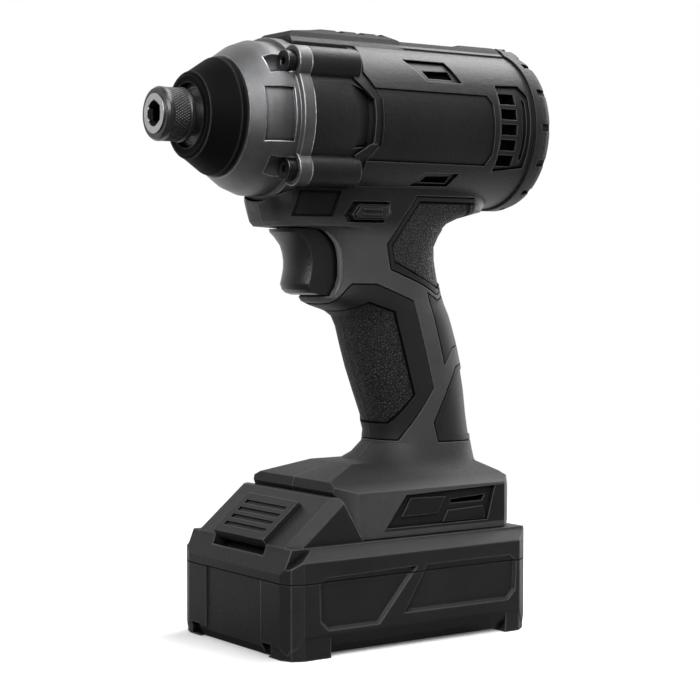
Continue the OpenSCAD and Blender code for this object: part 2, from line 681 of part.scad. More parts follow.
// Prisms of an outline: across, along and upright
module side_prism(points, y0, y1) {
  translate([0, y1, 0]) rotate([90, 0, 0]) linear_extrude(y1 - y0) polygon(points);
}
module end_prism(points, x0, x1) {
  translate([x0, 0, 0]) rotate([90, 0, 90]) linear_extrude(x1 - x0) polygon(points);
}
module plan_prism(points, z0, z1) {
  translate([0, 0, z0]) linear_extrude(z1 - z0) polygon(points);
}
module bar(x0, x1, w, z0, z1) {
  box(x0, x1, -w, w, z0, z1);
}
module box(x0, x1, y0, y1, z0, z1) {
  translate([x0, y0, z0]) cube([x1 - x0, y1 - y0, z1 - z0]);
}
// Local z lies on the drive axis and points forward
module on_axis(x) {
  translate([x, 0, axis_z]) rotate([0, 90, 0]) children();
}
module rod(x0, x1, r) {
  on_axis(x0) cylinder(h = x1 - x0, r = r);
}
module tube(x0, x1, r, bore) {
  difference() {
    rod(x0, x1, r);
    rod(x0 - cut, x1 + cut, bore);
  }
}
// A turned solid from radius and station
module turned(points) {
  on_axis(0) rotate_extrude() polygon(points);
}
// Four places around the axis; local x points outward, z forward
module at_corners(x, r) {
  for (i = [0, 180], a = [-screw_angle, screw_angle]) {
    on_axis(x) rotate([0, 0, i + a]) translate([r, 0, 0]) children();
  }
}
module left_space() {
  box(-span, span, 0, span, -span, span);
}
module mirrored() {
  mirror([0, 1, 0]) children();
}
// One closed helix of round wire along its own z
module coil(r, wire, len, turns) {
  steps = 12 * turns;
  sides = 6;
  rise = (len - 2 * wire) / steps;
  pts = [for (i = [0:steps], j = [0:sides - 1]) let (a = 30 * i, b = 360 * j / sides, q = r + wire * cos(b))
    [q * cos(a), q * sin(a), wire + rise * i + wire * sin(b)]];
  walls = [for (i = [0:steps - 1], j = [0:sides - 1]) let (k = (j + 1) % sides)
    each [[i * sides + j, i * sides + k, (i + 1) * sides + j],
      [i * sides + k, (i + 1) * sides + k, (i + 1) * sides + j]]];
  ends = [[for (j = [sides - 1:-1:0]) j], [for (j = [0:sides - 1]) steps * sides + j]];
  polyhedron(pts, concat(walls, ends));
}

// Half of the moulded handle, drawn in by d
function handle_ring(s, d) =
  let (x0 = hx(s[1]) - d, x1 = hx(s[2]) + d, b = s[3] * handle_w / 2 - d, k = 2 / s[4])
  [for (i = [0:ring_n]) let (c = cos(180 * i / ring_n), q = sin(180 * i / ring_n))
    [(x0 + x1) / 2 + (x0 - x1) / 2 * sign(c) * pow(abs(c), k), b * pow(q, k), hz(s[0])]];
// A closed form over rings, lowest first
module loft(rings) {
  n = len(rings[0]);
  last = len(rings) - 1;
  walls = [for (r = [0:last - 1], i = [0:n - 1]) let (j = (i + 1) % n, a = r * n, b = r * n + n)
    each [[a + i, b + i, b + j], [a + i, b + j, a + j]]];
  polyhedron([for (r = rings) each r], concat(walls, [[for (i = [0:n - 1]) i]],
    [[for (i = [n - 1:-1:0]) last * n + i]]));
}
module handle_half(d) {
  loft([for (s = handle_shares) handle_ring(s, d)]);
}
module pad_pocket(points, depth) {
  difference() {
    side_prism(points, -cut, span);
    handle_half(depth);
  }
}
module pad(shares, field) {
  difference() {
    intersection() {
      handle_half(0);
      side_prism(inset(handle_pts(shares), pad_seam), -cut, span);
    }
    handle_half(pad_t);
    if (len(field) > 0) pad_pocket(field, grain_sink);
  }
}
module front_pad() {
  pad(front_pad_shares, handle_pts(grain_shares));
}
module bordered_pad(shares) {
  pad(shares, inset(handle_pts(shares), pad_border));
}

// Motor housing, chin to rear cover seam
module sunk(shares, depth) {
  difference() {
    side_prism(barrel_pts(shares), 0, span);
    rod(barrel_rear_x - cut, seam_x + cut, barrel_r - depth);
  }
}
module ridge(side, end) {
  intersection() {
    side_prism(barrel_pts(side), -span, span);
    end_prism(barrel_end_pts(end), -span, span);
  }
}
module spine() {
  ridge(spine_side_shares, spine_end_shares);
  ridge(tail_side_shares, tail_end_shares);
}
module head_half() {
  difference() {
    intersection() {
      union() {
        rod(seam_x - boss_back_share * 2 * barrel_len, seam_x + cut, front_r);
        at_corners(seam_x - boss_back_share * barrel_len, screw_circle_r)
          cylinder(h = boss_back_share * barrel_len + 2 * cut, r = boss_r);
        intersection() {
          rod(barrel_rear_x, seam_x, barrel_r - rim_step);
          side_prism(barrel_pts(rim_shares), -span, span);
        }
        intersection() {
          rod(barrel_rear_x, seam_x, barrel_r);
          side_prism(barrel_pts(body_shares), -span, span);
        }
        spine();
      }
      left_space();
    }
    box(seam_x, span, -cut, span, -span, span);
    sunk(panel_shares, panel_depth);
    sunk(vent_band_shares, vent_sink);
    sunk(rear_slot_shares, 2 * vent_sink);
    sunk(top_recess_shares, vent_sink);
    sunk(low_recess_shares, vent_sink);
    sunk(top_slot_shares, slot_sink);
    sunk(low_slot_shares, slot_sink);
    difference() {
      side_prism(barrel_pts(exhaust_shares), 0, span);
      turned([[0, -span], [front_r - slot_sink, -span],
        [front_r - slot_sink, seam_x - exhaust_shares[1][0] * barrel_len],
        [front_r, seam_x - exhaust_shares[0][0] * barrel_len], [front_r, span], [0, span]]);
      intersection() {
        rod(barrel_rear_x, seam_x, barrel_r);
        side_prism(barrel_pts(rim_shares), -span, span);
      }
    }
    side_prism(barrel_pts(outlet_shares), 0, front_r - rim_step);
    for (i = [0:vent_count - 1]) {
      vent_z = axis_z + vent_z_share * barrel_r + (i - (vent_count - 1) / 2) * vent_pitch;
      box(seam_x - vent_x_shares[1] * barrel_len, seam_x - vent_x_shares[0] * barrel_len, 0, span,
        vent_z - vent_h / 2, vent_z + vent_h / 2);
    }
    for (s = groove_x_shares) {
      side_prism(barrel_pts([[s, groove_top_share], [s + groove_w_share, groove_top_share],
        [s + groove_w_share + groove_slant_share, groove_floor_share],
        [s + groove_slant_share, groove_floor_share]]), -cut, span);
    }
  }
}
module barrel_bore() {
  turned([[0, barrel_rear_x - cut], [case_bore_r + run_gap, barrel_rear_x - cut],
    [case_bore_r + run_gap, stator_x0 - winding_end], [stator_r, stator_x0 - winding_end],
    [stator_r, front_bearing_x0], [plate_r, front_bearing_x0], [plate_r, ring_x1],
    [case_bore_r, ring_x1], [case_bore_r, seam_x + cut], [0, seam_x + cut]]);
}
module foot_half() {
  difference() {
    intersection() {
      side_prism(foot_pts(foot_side_shares), 0, span);
      end_prism(foot_end_pts(foot_end_shares), -span, span);
      plan_prism(foot_plan_pts(foot_plan_shares), 0, span);
    }
    difference() {
      side_prism(foot_pts(foot_recess_shares), foot_w / 2 - foot_sink, span);
      side_prism(foot_pts(foot_tab_1_shares), 0, foot_w / 2 - tab_share * foot_sink);
      side_prism(foot_pts(foot_tab_2_shares), 0, foot_w / 2 - tab_share * foot_sink);
    }
    side_prism(foot_pts(foot_slot_shares), foot_w / 2 - 2 * slot_sink, span);
  }
}
// Hollow of the foot for the battery's guide block, with two rails
guide_z1 = pack_h + guide_h;
hollow_z1 = guide_z1 + pack_gap;
hollow_half_w = guide_half_w + rail_gap;
hollow_x0 = -guide_back - block_l - pack_gap;
rail_z0 = pack_h + rail_lift;
blade_z0 = rail_z0 + rail_gap;
pack_board_z = pack_h + pack_gap;
control_z0 = hollow_z1 + pack_wall;
control_half_w = block_half_w;
control_x0 = -guide_back + block_l;
control_x1 = bx(foot_side_shares[3][0]) - pack_wall;
tongue_z1 = guide_z1 + tongue_rise;
module foot_hollow() {
  difference() {
    bar(hollow_x0, span, hollow_half_w, 0, hollow_z1);
    for (i = [-1, 1]) {
      translate([0, i * (hollow_half_w - rail_d / 2), 0])
        bar(hollow_x0 - cut, span, rail_d / 2, rail_z0, rail_z0 + rail_h);
    }
  }
  box(tongue_x - tongue_t - 2 * latch_travel, span, -tongue_half_w - latch_gap,
    tongue_half_w + latch_gap, 0, tongue_z1 + latch_gap);
  bar(control_x0, control_x1, control_half_w, control_z0, control_z0 + control_room);
}
// Trigger, switch and selector places
trigger_x0 = hx(trigger_x_share);
trigger_z0 = hz(trigger_z_share);
stem_z0 = trigger_z0 + stem_z_share * trigger_h - stem_h / 2;
switch_x1 = hx(switch_x_share);
switch_x0 = switch_x1 - switch_l;
switch_z0 = stem_z0 + stem_h / 2 - switch_h / 2;
selector_x = hx(selector_x_share);
selector_z = hz(selector_z_share);
function selector_pts(l, h, x) = [for (s = selector_shares) [x + s[0] * l / 2, selector_z + s[1] * h / 2]];
module controls_hollow() {
  bar(switch_x0, switch_x1, switch_w / 2, switch_z0, switch_z0 + switch_h);
  box(switch_x1 - cut, span, -trigger_w / 2 - trigger_gap, trigger_w / 2 + trigger_gap,
    trigger_z0 - trigger_gap, trigger_z0 + trigger_h + trigger_gap);
  side_prism(inset(selector_pts(selector_l, selector_h, selector_x), -selector_gap), -span, span);
  for (i = [0, 1]) {
    mirror([0, i, 0]) side_prism(selector_pts(selector_recess_l, selector_recess_h,
      hx(selector_recess_x_share)), selector_floor_y, span);
  }
}
module at_shell_screws() {
  for (s = shell_screw_shares) translate([hx(s[0]), 0, hz(s[1])]) rotate([-90, 0, 0]) children();
}
cover_screw_r = (case_bore_r + barrel_r) / 2;
module housing_half() {
  difference() {
    union() {
      head_half();
      foot_half();
      difference() {
        handle_half(0);
        for (s = [front_pad_shares, web_pad_shares, heel_pad_shares, tail_pad_shares]) {
          pad_pocket(handle_pts(s), pad_t);
        }
        pad_pocket(handle_pts(chin_shares), panel_depth);
        rod(seam_x - end_gap, span, flange_r + trigger_gap);
        rod(-span, barrel_rear_x, cover_r + trigger_gap);
      }
    }
    barrel_bore();
    foot_hollow();
    controls_hollow();
    at_corners(seam_x - case_shank_len, screw_circle_r)
      cylinder(h = case_shank_len + cut, r = case_shank_r);
    at_corners(barrel_rear_x - cut, cover_screw_r) cylinder(h = cover_shank_len + cut, r = cover_shank_r);
  }
}
module left_housing() {
  color("#37393b") difference() {
    housing_half();
    at_shell_screws() translate([0, 0, -cut]) cylinder(h = shell_reach + cut, r = shell_shank_r);
  }
}
module right_housing() {
  color("#37393b") difference() {
    mirrored() housing_half();
    at_shell_screws() {
      translate([0, 0, -shell_head_y]) cylinder(h = shell_head_y + cut, r = shell_shank_r);
      translate([0, 0, -span]) cylinder(h = span - shell_head_y, r = shell_head_r);
    }
  }
}
module front_grip_left() { color("#232425") front_pad(); }
module front_grip_right() { color("#232425") mirrored() front_pad(); }
module web_grip_left() { color("#232425") bordered_pad(web_pad_shares); }
module web_grip_right() { color("#232425") mirrored() bordered_pad(web_pad_shares); }
module heel_grip_left() { color("#232425") pad(heel_pad_shares, []); }
module heel_grip_right() { color("#232425") mirrored() pad(heel_pad_shares, []); }
module tail_grip_left() { color("#232425") bordered_pad(tail_pad_shares); }
module tail_grip_right() { color("#232425") mirrored() bordered_pad(tail_pad_shares); }
module screw(head_r, head_h, shank_r, shank_len) {
  cylinder(h = head_h, r = head_r);
  translate([0, 0, -shank_len]) cylinder(h = shank_len + cut, r = shank_r);
}
module slotted_screw(head_r, head_h, shank_r, shank_len) {
  difference() {
    screw(head_r, head_h, shank_r, shank_len);
    translate([-head_r, -small_slot / 2, head_h - small_slot_d]) cube([2 * head_r, small_slot, head_h]);
    translate([-small_slot / 2, -head_r, head_h - small_slot_d]) cube([small_slot, 2 * head_r, head_h]);
  }
}
module housing_screws() {
  color("#1d1e1f") at_shell_screws() translate([0, 0, -shell_head_y]) mirror([0, 0, 1])
    slotted_screw(shell_head_r, shell_head_h, shell_shank_r, shell_head_y + shell_reach);
}
module hammer_case_screws() {
  color("#1d1e1f") at_corners(seat_x, screw_circle_r) difference() {
    screw(case_head_r, case_head_h, case_shank_r, case_shank_len + seat_x - seam_x);
    translate([0, 0, case_head_h - case_key_h])
      cylinder(h = case_head_h, r = case_key / 2 / cos(30), $fn = 6);
  }
}

// Rear cover with its bearing seat
cover_x0 = barrel_rear_x - cover_len;
cover_shares = [[0, 0], [1, 0], [1, 0.55], [0.975, 0.83], [0.9, 1], [0.6, 1], [0.57, 0.89], [0, 0.89]];
cover_lip_share = 0.8;
cover_dish_share = 0.6;
module rear_cover() {
  color("#2f3133") difference() {
    union() {
      turned([for (s = cover_shares) [s[0] * cover_r, barrel_rear_x - s[1] * cover_len]]);
      rod(barrel_rear_x - cut, rear_bearing_x1, rear_bearing_r + pack_wall);
      ridge(cover_top_shares, tail_end_shares);
    }
    rod(rear_bearing_x0, rear_bearing_x1 + cut, rear_bearing_r);
    for (i = [0:cover_notch_count - 1]) {
      on_axis(cover_x0 - cut) rotate([0, 0, 360 * (i + 0.5) / cover_notch_count])
        translate([cover_r - cover_notch_d, -cover_notch_w / 2, 0])
        cube([2 * cover_notch_d, cover_notch_w, cover_len * cover_lip_share]);
    }
    at_corners(cover_x0 - cut, cover_screw_r) {
      cylinder(h = cover_len + 2 * cut, r = cover_shank_r);
      cylinder(h = cut + cover_len * cover_dish_share, r = cover_head_r);
    }
  }
}
module rear_cover_screws() {
  color("#1d1e1f") at_corners(cover_x0 + cover_len * cover_dish_share, cover_screw_r) mirror([0, 0, 1])
    slotted_screw(cover_head_r, cover_head_h, cover_shank_r,
      cover_shank_len + cover_len * (1 - cover_dish_share));
}

// Hammer case outline: shares of flange radius, length and sink depth
case_shares = [[0.945, 0.16, 1], [0.95, 0.35, 1], [0.89, 0.5, 1], [0.775, 0.66, 1], [0.745, 0.7, 0]];
window_shares = [0.22, 0.545];
rib_share = 0.7;
case_inner_share = 0.46;
case_throat_share = 0.6;
module case_profile(sink) {
  turned(concat([[0, seam_x], [flange_r - sink, seam_x], [flange_r - sink, seam_x + flange_t]],
    [for (s = case_shares) [flange_r * s[0] - sink * s[2], seam_x + s[1] * case_len]],
    [[case_nose_r, bumper_x0], [case_nose_r, case_front_x], [0, case_front_x]]));
}
lug_room = 2 * end_gap;
well_share = 0.3;
module hammer_case() {
  color("#6d6f70") difference() {
    union() {
      case_profile(0);
      at_corners(seam_x, screw_circle_r) cylinder(h = ear_t, r = boss_r);
      at_corners(seam_x + flange_t / 2, 0) hull() {
        translate([screw_circle_r - rib_in, 0, 0]) cylinder(h = flange_t, r = rib_r, $fn = 32);
        translate([screw_circle_r - rib_sink, 0, bumper_x0 - seam_x - flange_t])
          cylinder(h = cut, r = rib_share * rib_r, $fn = 32);
      }
    }
    for (i = [0, 1]) {
      mirror([0, i, 0]) difference() {
        box(seam_x + window_shares[0] * case_len, seam_x + window_shares[1] * case_len, 0, span,
          axis_z - window_h / 2, axis_z + window_h / 2);
        case_profile(window_sink);
      }
    }
    at_corners(seat_x, screw_circle_r)
      cylinder(h = well_share * case_len, r = case_head_r + trigger_gap);
    at_corners(seam_x - cut, screw_circle_r) cylinder(h = ear_t + 2 * cut, r = case_shank_r);
    turned([[0, seam_x - cut], [case_room_r, seam_x - cut],
      [case_room_r, seam_x + case_inner_share * case_len],
      [hammer_r + lug_room, lug_x1 + end_gap], [bush_r, lug_x1 + end_gap], [bush_r, case_front_x + cut],
      [0, case_front_x + cut]]);
  }
}
bumper_x0 = seam_x + case_shares[4][1] * case_len;
bumper_x1 = bumper_x0 + bumper_len;
bumper_step_share = 0.2;
bumper_tip_share = 0.8;
bumper_lip_share = 0.94;
scallop_share = 0.42;
scallop_lean = 20;
module nose_bumper() {
  color("#1c1d1e") difference() {
    turned([[case_nose_r, bumper_x0], [bumper_r, bumper_x0],
      [bumper_r, bumper_x0 + bumper_step_share * bumper_len],
      [bumper_tip_r + rim_step, bumper_x0 + bumper_tip_share * bumper_len],
      [bumper_tip_r, bumper_x0 + bumper_lip_share * bumper_len], [bumper_tip_r - 2 * rim_step, bumper_x1],
      [bumper_bore_r, bumper_x1], [bumper_bore_r, case_front_x],
      [case_nose_r, case_front_x]]);
    for (a = [0, 90, 180, 270]) {
      on_axis(bumper_x0 + bumper_tip_share * bumper_len) rotate([0, 0, a])
        translate([bumper_r + bumper_tip_r * scallop_share, 0, 0]) rotate([0, -scallop_lean, 0])
        cylinder(h = span, r = bumper_tip_r * scallop_share + rim_step, center = true);
    }
  }
}

// Motor: reach of slots and coils, shares of the stator's radius
slot_share = 0.84;
coil_share = 0.79;
module slot_band() {
  difference() {
    circle(r = stator_r * slot_share);
    circle(r = stator_bore_r + fan_t);
    for (i = [0:stator_teeth - 1]) {
      rotate(360 * i / stator_teeth) translate([0, -tooth_w / 2]) square([stator_r, tooth_w]);
    }
  }
  for (i = [0:stator_teeth - 1]) {
    rotate(360 * (i + 0.5) / stator_teeth) translate([0, -tooth_gap / 2])
      square([stator_r * slot_share, tooth_gap]);
  }
}
module stator_core() {
  color("#5b5e61") on_axis(stator_x0) linear_extrude(stator_len) difference() {
    circle(r = stator_r);
    circle(r = stator_bore_r);
    slot_band();
  }
}
coil_r0 = stator_bore_r + fan_t + 2 * end_gap;
coil_r1 = stator_r * coil_share;
module stator_windings() {
  color("#a8672f") for (i = [0:stator_teeth - 1]) {
    on_axis(stator_x0 - winding_end) rotate([0, 0, 360 * i / stator_teeth]) difference() {
      translate([coil_r0, -coil_half_w, 0])
        cube([coil_r1 - coil_r0, 2 * coil_half_w, stator_len + 2 * winding_end]);
      translate([0, -tooth_w / 2, winding_end]) cube([stator_r, tooth_w, stator_len]);
    }
  }
}
module rotor_core() { color("#54575a") tube(stator_x0, stator_x1, rotor_r, shaft_r); }
module motor_shaft() { color("#9a9da0") rod(rear_bearing_x0, gear_x1, shaft_r); }
module cooling_fan() {
  color("#2a2c2e") difference() {
    union() {
      rod(fan_x1 - fan_t, fan_x1, fan_r);
      rod(fan_x0, fan_x1, fan_hub_r);
      for (i = [0:fan_blades - 1]) {
        on_axis(fan_x0) rotate([0, 0, 360 * i / fan_blades]) translate([fan_hub_r - cut, -fan_t / 2, 0])
          cube([fan_r - fan_hub_r, fan_t, fan_h]);
      }
    }
    rod(fan_x0 - cut, fan_x1 + cut, shaft_r);
  }
}
module rear_bearing() {
  color("#8d9093") tube(rear_bearing_x0, rear_bearing_x1, rear_bearing_r, shaft_r + run_gap);
}
module front_bearing() {
  color("#8d9093") tube(front_bearing_x0, front_bearing_x1, front_bearing_r, shaft_r + run_gap);
}
module gearbox_plate() {
  color("#77797b") difference() {
    rod(front_bearing_x0, ring_x1, plate_r);
    rod(front_bearing_x0 - cut, front_bearing_x1, front_bearing_r);
    rod(front_bearing_x0, hub_x0, hub_bore_r);
    rod(hub_x0, hub_x1 + cut, spindle_bearing_r);
    rod(hub_x1, ring_x1 + cut, carrier_r + spring_room);
    rod(ring_x0, ring_x1 + cut, ring_r);
  }
}

// Involute outline of a gear; play widens or narrows the teeth
function inv(a) = tan(a) * 180 / PI - a;
function half_tooth(z, play, q) = let (r = gear_m * z / 2, base = r * cos(pressure_angle))
  90 / z + inv(pressure_angle) - inv(acos(min(1, base / q))) + play / r * 180 / PI;
function gear_pts(z, play, root, tip) =
  let (from = max(gear_m * z / 2 * cos(pressure_angle), root), n = 5)
  [for (i = [0:z - 1], side = [-1, 1], k = side < 0 ? [-1:n] : [n:-1:-1])
    let (q = from + (tip - from) * max(k, 0) / n)
    [k < 0 ? root : q, 360 * i / z + side * half_tooth(z, play, q)]];
function polar(p) = [for (q = p) q[0] * [cos(q[1]), sin(q[1])]];
function tidy(p) = [for (i = [0:len(p) - 1]) if (norm(p[i] - p[(i + 1) % len(p)]) > gear_play / 100) p[i]];
module gear(z) {
  r = gear_m * z / 2;
  polygon(tidy(polar(gear_pts(z, -gear_play, r - root_share * gear_m, r + tip_share * gear_m))));
}
module pinion() {
  color("#8a8d90") on_axis(gear_x0 - end_gap) linear_extrude(planet_w + end_gap) difference() {
    gear(sun_teeth);
    circle(r = shaft_r);
  }
}
module planet(i) {
  color("#9b9ea1") on_axis(gear_x0) rotate([0, 0, 120 * i]) translate([orbit_r, 0, 0])
    rotate([0, 0, 180 / planet_teeth]) linear_extrude(planet_w) difference() {
    gear(planet_teeth);
    circle(r = pin_r + run_gap);
  }
}
module planet_gear_1() { planet(0); }
module planet_gear_2() { planet(1); }
module planet_gear_3() { planet(2); }
module ring_gear() {
  color("#6f7275") on_axis(ring_x0) linear_extrude(ring_x1 - ring_x0) difference() {
    circle(r = ring_r);
    rotate(180 / ring_teeth) polygon(tidy(polar(gear_pts(ring_teeth, gear_play,
      ring_pitch_r - ring_tip_share * gear_m, ring_pitch_r + root_share * gear_m))));
  }
}
module planet_pins() {
  color("#b9bcbf") for (i = [0:2]) {
    on_axis(hub_x1) rotate([0, 0, 120 * i]) translate([orbit_r, 0, 0])
      cylinder(h = carrier_x2 - hub_x1, r = pin_r);
  }
}
module cam_places() {
  for (i = [-1, 1]) translate([cam_x, i * (spindle_r + run_gap), axis_z]) children();
}
module spindle() {
  color("#85888b") difference() {
    union() {
      rod(hub_x0 + end_gap, hub_x1, hub_r - run_gap);
      rod(hub_x1, carrier_x0, carrier_r);
      for (i = [0:2]) {
        on_axis(hub_x1) rotate([0, 0, 120 * i + 60]) translate([orbit_r, 0, 0])
          cylinder(h = carrier_x1 - hub_x1 + cut, r = carrier_post_r);
      }
      rod(carrier_x1, carrier_x2, carrier_r);
      rod(carrier_x1, spindle_x1, spindle_r);
      rod(carrier_x1, spindle_x1 + pilot_len, pilot_r);
    }
    rod(hub_x0 - cut, carrier_x0 + cut, hub_bore_r);
    for (i = [0:2]) {
      on_axis(hub_x1 - cut) rotate([0, 0, 120 * i]) translate([orbit_r, 0, 0])
        cylinder(h = carrier_x2 - hub_x1 + 2 * cut, r = pin_r);
    }
    cam_places() sphere(r = cam_ball_r);
  }
}
module spindle_bearing() { color("#8d9093") tube(hub_x0, hub_x1, spindle_bearing_r, hub_r); }
module lug(r0, r1, h) {
  intersection() {
    difference() {
      cylinder(h = h, r = r1);
      translate([0, 0, -cut]) cylinder(h = h + 2 * cut, r = r0);
    }
    linear_extrude(h) polygon([[0, 0], 2 * r1 * [cos(lug_angle), sin(lug_angle)], [3 * r1, 0],
      2 * r1 * [cos(lug_angle), -sin(lug_angle)]]);
  }
}
module hammer() {
  color("#6a6d70") difference() {
    union() {
      rod(hammer_x0, hammer_x1, hammer_r);
      for (a = [0, 180]) {
        on_axis(hammer_x1 - cut) rotate([0, 0, a])
          lug(anvil_hub_r + spring_room, hammer_r - cut, lug_h + cut);
      }
    }
    rod(hammer_x0 - cut, lug_x1 + cut, spindle_r + run_gap);
    difference() {
      rod(hammer_x0 - cut, pocket_x1, hammer_spring_r + hammer_wire_r + spring_room);
      rod(hammer_x0 - 2 * cut, pocket_x1 + cut, hammer_spring_r - hammer_wire_r - spring_room);
    }
    cam_places() {
      sphere(r = cam_ball_r + end_gap);
      rotate([0, 90, 0]) cylinder(h = span, r = cam_ball_r + end_gap);
    }
  }
}
module hammer_spring() {
  color("#7d8083") on_axis(carrier_x2)
    coil(hammer_spring_r, hammer_wire_r, pocket_x1 - carrier_x2, hammer_turns);
}
module cam_balls() { color("#c3c6c9") cam_places() sphere(r = cam_ball_r); }
module anvil() {
  color("#8b8e91") difference() {
    union() {
      rod(anvil_x0, anvil_x1, anvil_r);
      rod(anvil_x0, bush_x0 - end_gap, anvil_hub_r);
      for (a = [90, 270]) {
        on_axis(anvil_x0) rotate([0, 0, a]) lug(anvil_r - cut, hammer_r - cut, lug_h);
      }
    }
    rod(anvil_x0 - cut, spindle_x1 + pilot_len + end_gap, pilot_r + run_gap);
    on_axis(anvil_x1 - hex_depth) cylinder(h = hex_depth + cut, r = hex_flats / 2 / cos(30), $fn = 6);
    on_axis(anvil_x1 - lead_d) cylinder(h = lead_d, r1 = hex_flats / 2, r2 = lead_r, $fn = 6);
    for (i = [-1, 1]) {
      translate([chuck_ball_x, 0, axis_z]) rotate([90 + 90 * i, 0, 0])
        cylinder(h = anvil_r + cut, r = chuck_ball_r);
    }
    difference() {
      rod(clip_x0, sleeve_x1, anvil_r + cut);
      rod(clip_x0 - cut, sleeve_x1 + cut, anvil_r - clip_groove);
    }
  }
}
module anvil_bush() { color("#9c7a3c") tube(bush_x0, bush_x1, bush_r, anvil_r + run_gap); }
module release_sleeve() {
  color("#202122") difference() {
    turned([[anvil_r + run_gap, sleeve_x0], [sleeve_r - sleeve_bevel, sleeve_x0],
      [sleeve_r, sleeve_x0 + sleeve_bevel], [sleeve_r, sleeve_x1 - sleeve_bevel],
      [sleeve_r - sleeve_bevel / 2, sleeve_x1], [anvil_r + run_gap, sleeve_x1]]);
    rod(shoulder_x1, sleeve_x1 + cut, chamber_r);
    rod(shoulder_x0 - sleeve_travel - cut, shoulder_x0, anvil_r + chuck_ball_r / 2);
  }
}
module sleeve_spring() {
  color("#9a9da0") on_axis(shoulder_x1)
    coil((anvil_r + chamber_r) / 2, sleeve_wire_r, washer_x0 - shoulder_x1, sleeve_turns);
}
module chuck_balls() {
  color("#c3c6c9") for (i = [-1, 1]) {
    translate([chuck_ball_x, 0, axis_z + i * (anvil_r - chuck_ball_r)]) sphere(r = chuck_ball_r);
  }
}
module sleeve_washer() { color("#2b2c2e") tube(washer_x0, clip_x0, chamber_r - run_gap, anvil_r); }
module retaining_ring() {
  color("#2b2c2e") tube(clip_x0, sleeve_x1, chamber_r - run_gap, anvil_r - clip_groove);
}

// Trigger and switch
module trigger() {
  color("#2a2c2d") {
    loft([for (s = trigger_shares) let (z = trigger_z0 + s[0] * trigger_h, x = trigger_x0 + s[1] * trigger_d)
      concat([[trigger_x0, -trigger_w / 2, z]], [for (a = [-60:12:60]) [x - trigger_round_share * trigger_d
        * (1 - cos(a)), trigger_w / 2 * sin(a) / sin(60), z]], [[trigger_x0, trigger_w / 2, z]])]);
    bar(trigger_x0 - stem_len, trigger_x0 + cut, stem_w / 2, stem_z0, stem_z0 + stem_h);
  }
}
module switch_body() {
  color("#333436") difference() {
    bar(switch_x0, switch_x1, switch_w / 2, switch_z0, switch_z0 + switch_h);
    box(trigger_x0 - stem_len - trigger_travel - trigger_gap, span, -stem_w / 2 - trigger_gap,
      stem_w / 2 + trigger_gap, stem_z0 - trigger_gap, stem_z0 + stem_h + trigger_gap);
  }
}
module selector() {
  pts = selector_pts(selector_l, selector_h, selector_x);
  color("#303234") {
    side_prism(pts, selector_bevel - selector_w / 2, selector_w / 2 - selector_bevel);
    side_prism(inset(pts, selector_bevel), -selector_w / 2, selector_w / 2);
    for (i = [0, 1], j = [-1, 1]) {
      mirror([0, i, 0]) box(selector_x - selector_l / 4, selector_x + selector_l / 4, selector_w / 2 - cut,
        selector_w / 2 + selector_rib, selector_z + j * selector_h / 6 - selector_rib_w / 2,
        selector_z + j * selector_h / 6 + selector_rib_w / 2);
    }
  }
}
module control_board() {
  color("#2e4a36")
    bar(control_x0, control_x1, control_half_w, control_z0, control_z0 + board_t);
}
module blade_places() {
  for (i = [-1:1]) translate([0, i * blade_pitch, 0]) children();
}
block_x0 = hollow_x0;
module terminal_block() {
  color("#2b2d2f") difference() {
    bar(block_x0, block_x0 + block_l, block_half_w, rail_z0, hollow_z1);
    blade_places() bar(block_x0 - cut, span, blade_t / 2, blade_z0, blade_z0 + blade_h);
  }
}
module tool_contacts() {
  color("#b08d4a") blade_places()
    bar(block_x0, block_x0 + blade_len, blade_t / 2, blade_z0, blade_z0 + blade_h);
}

// Battery
cell_z0 = pack_wall + cell_r + strap_t;
cell_top = cell_z0 + layer_pitch + cell_r + strap_t;
cell_room_x = (cell_row - 1) / 2 * cell_pitch + cell_r + strap_t;
cell_len = battery_w - 2 * cell_side;
cell_room_y = cell_len / 2 + strap_t;
module pack_body(z0, z1) {
  intersection() {
    plan_prism(both_y(pack_pts_plan()), z0, z1);
    end_prism(both(pack_end_pts(pack_end_shares)), -span, span);
    side_prism(pack_pts(pack_side_shares), -span, span);
  }
}
function pack_pts_plan() = [for (p = pack_plan_shares) [bx(p[0]), by(p[1])]];
module side_panel(shares) {
  for (i = [0, 1]) {
    mirror([0, i, 0]) hull() {
      side_prism(pack_pts(shares), by(1) + cut / 2, by(1) + cut);
      side_prism(inset(pack_pts(shares), slope_share * pack_border), by(1) - pack_panel, by(1));
    }
  }
}
module pack_screw_places() {
  for (i = [-1, 1], j = [-1, 1]) {
    translate([i * bx(screw_x_share), j * by(screw_y_share), pack_seat_z]) children();
  }
}
module corner_feet() {
  intersection() {
    plan_prism(inset(both_y(pack_pts_plan()), end_gap), 0, pad_h_share * pack_h);
    for (i = [0, 1], x = [[bx(pad_front_shares[0]), span], [-span, bx(pad_rear_shares[1])]]) {
      mirror([0, i, 0]) box(x[0], x[1], by(pad_side_share), span, -cut, span);
    }
  }
}
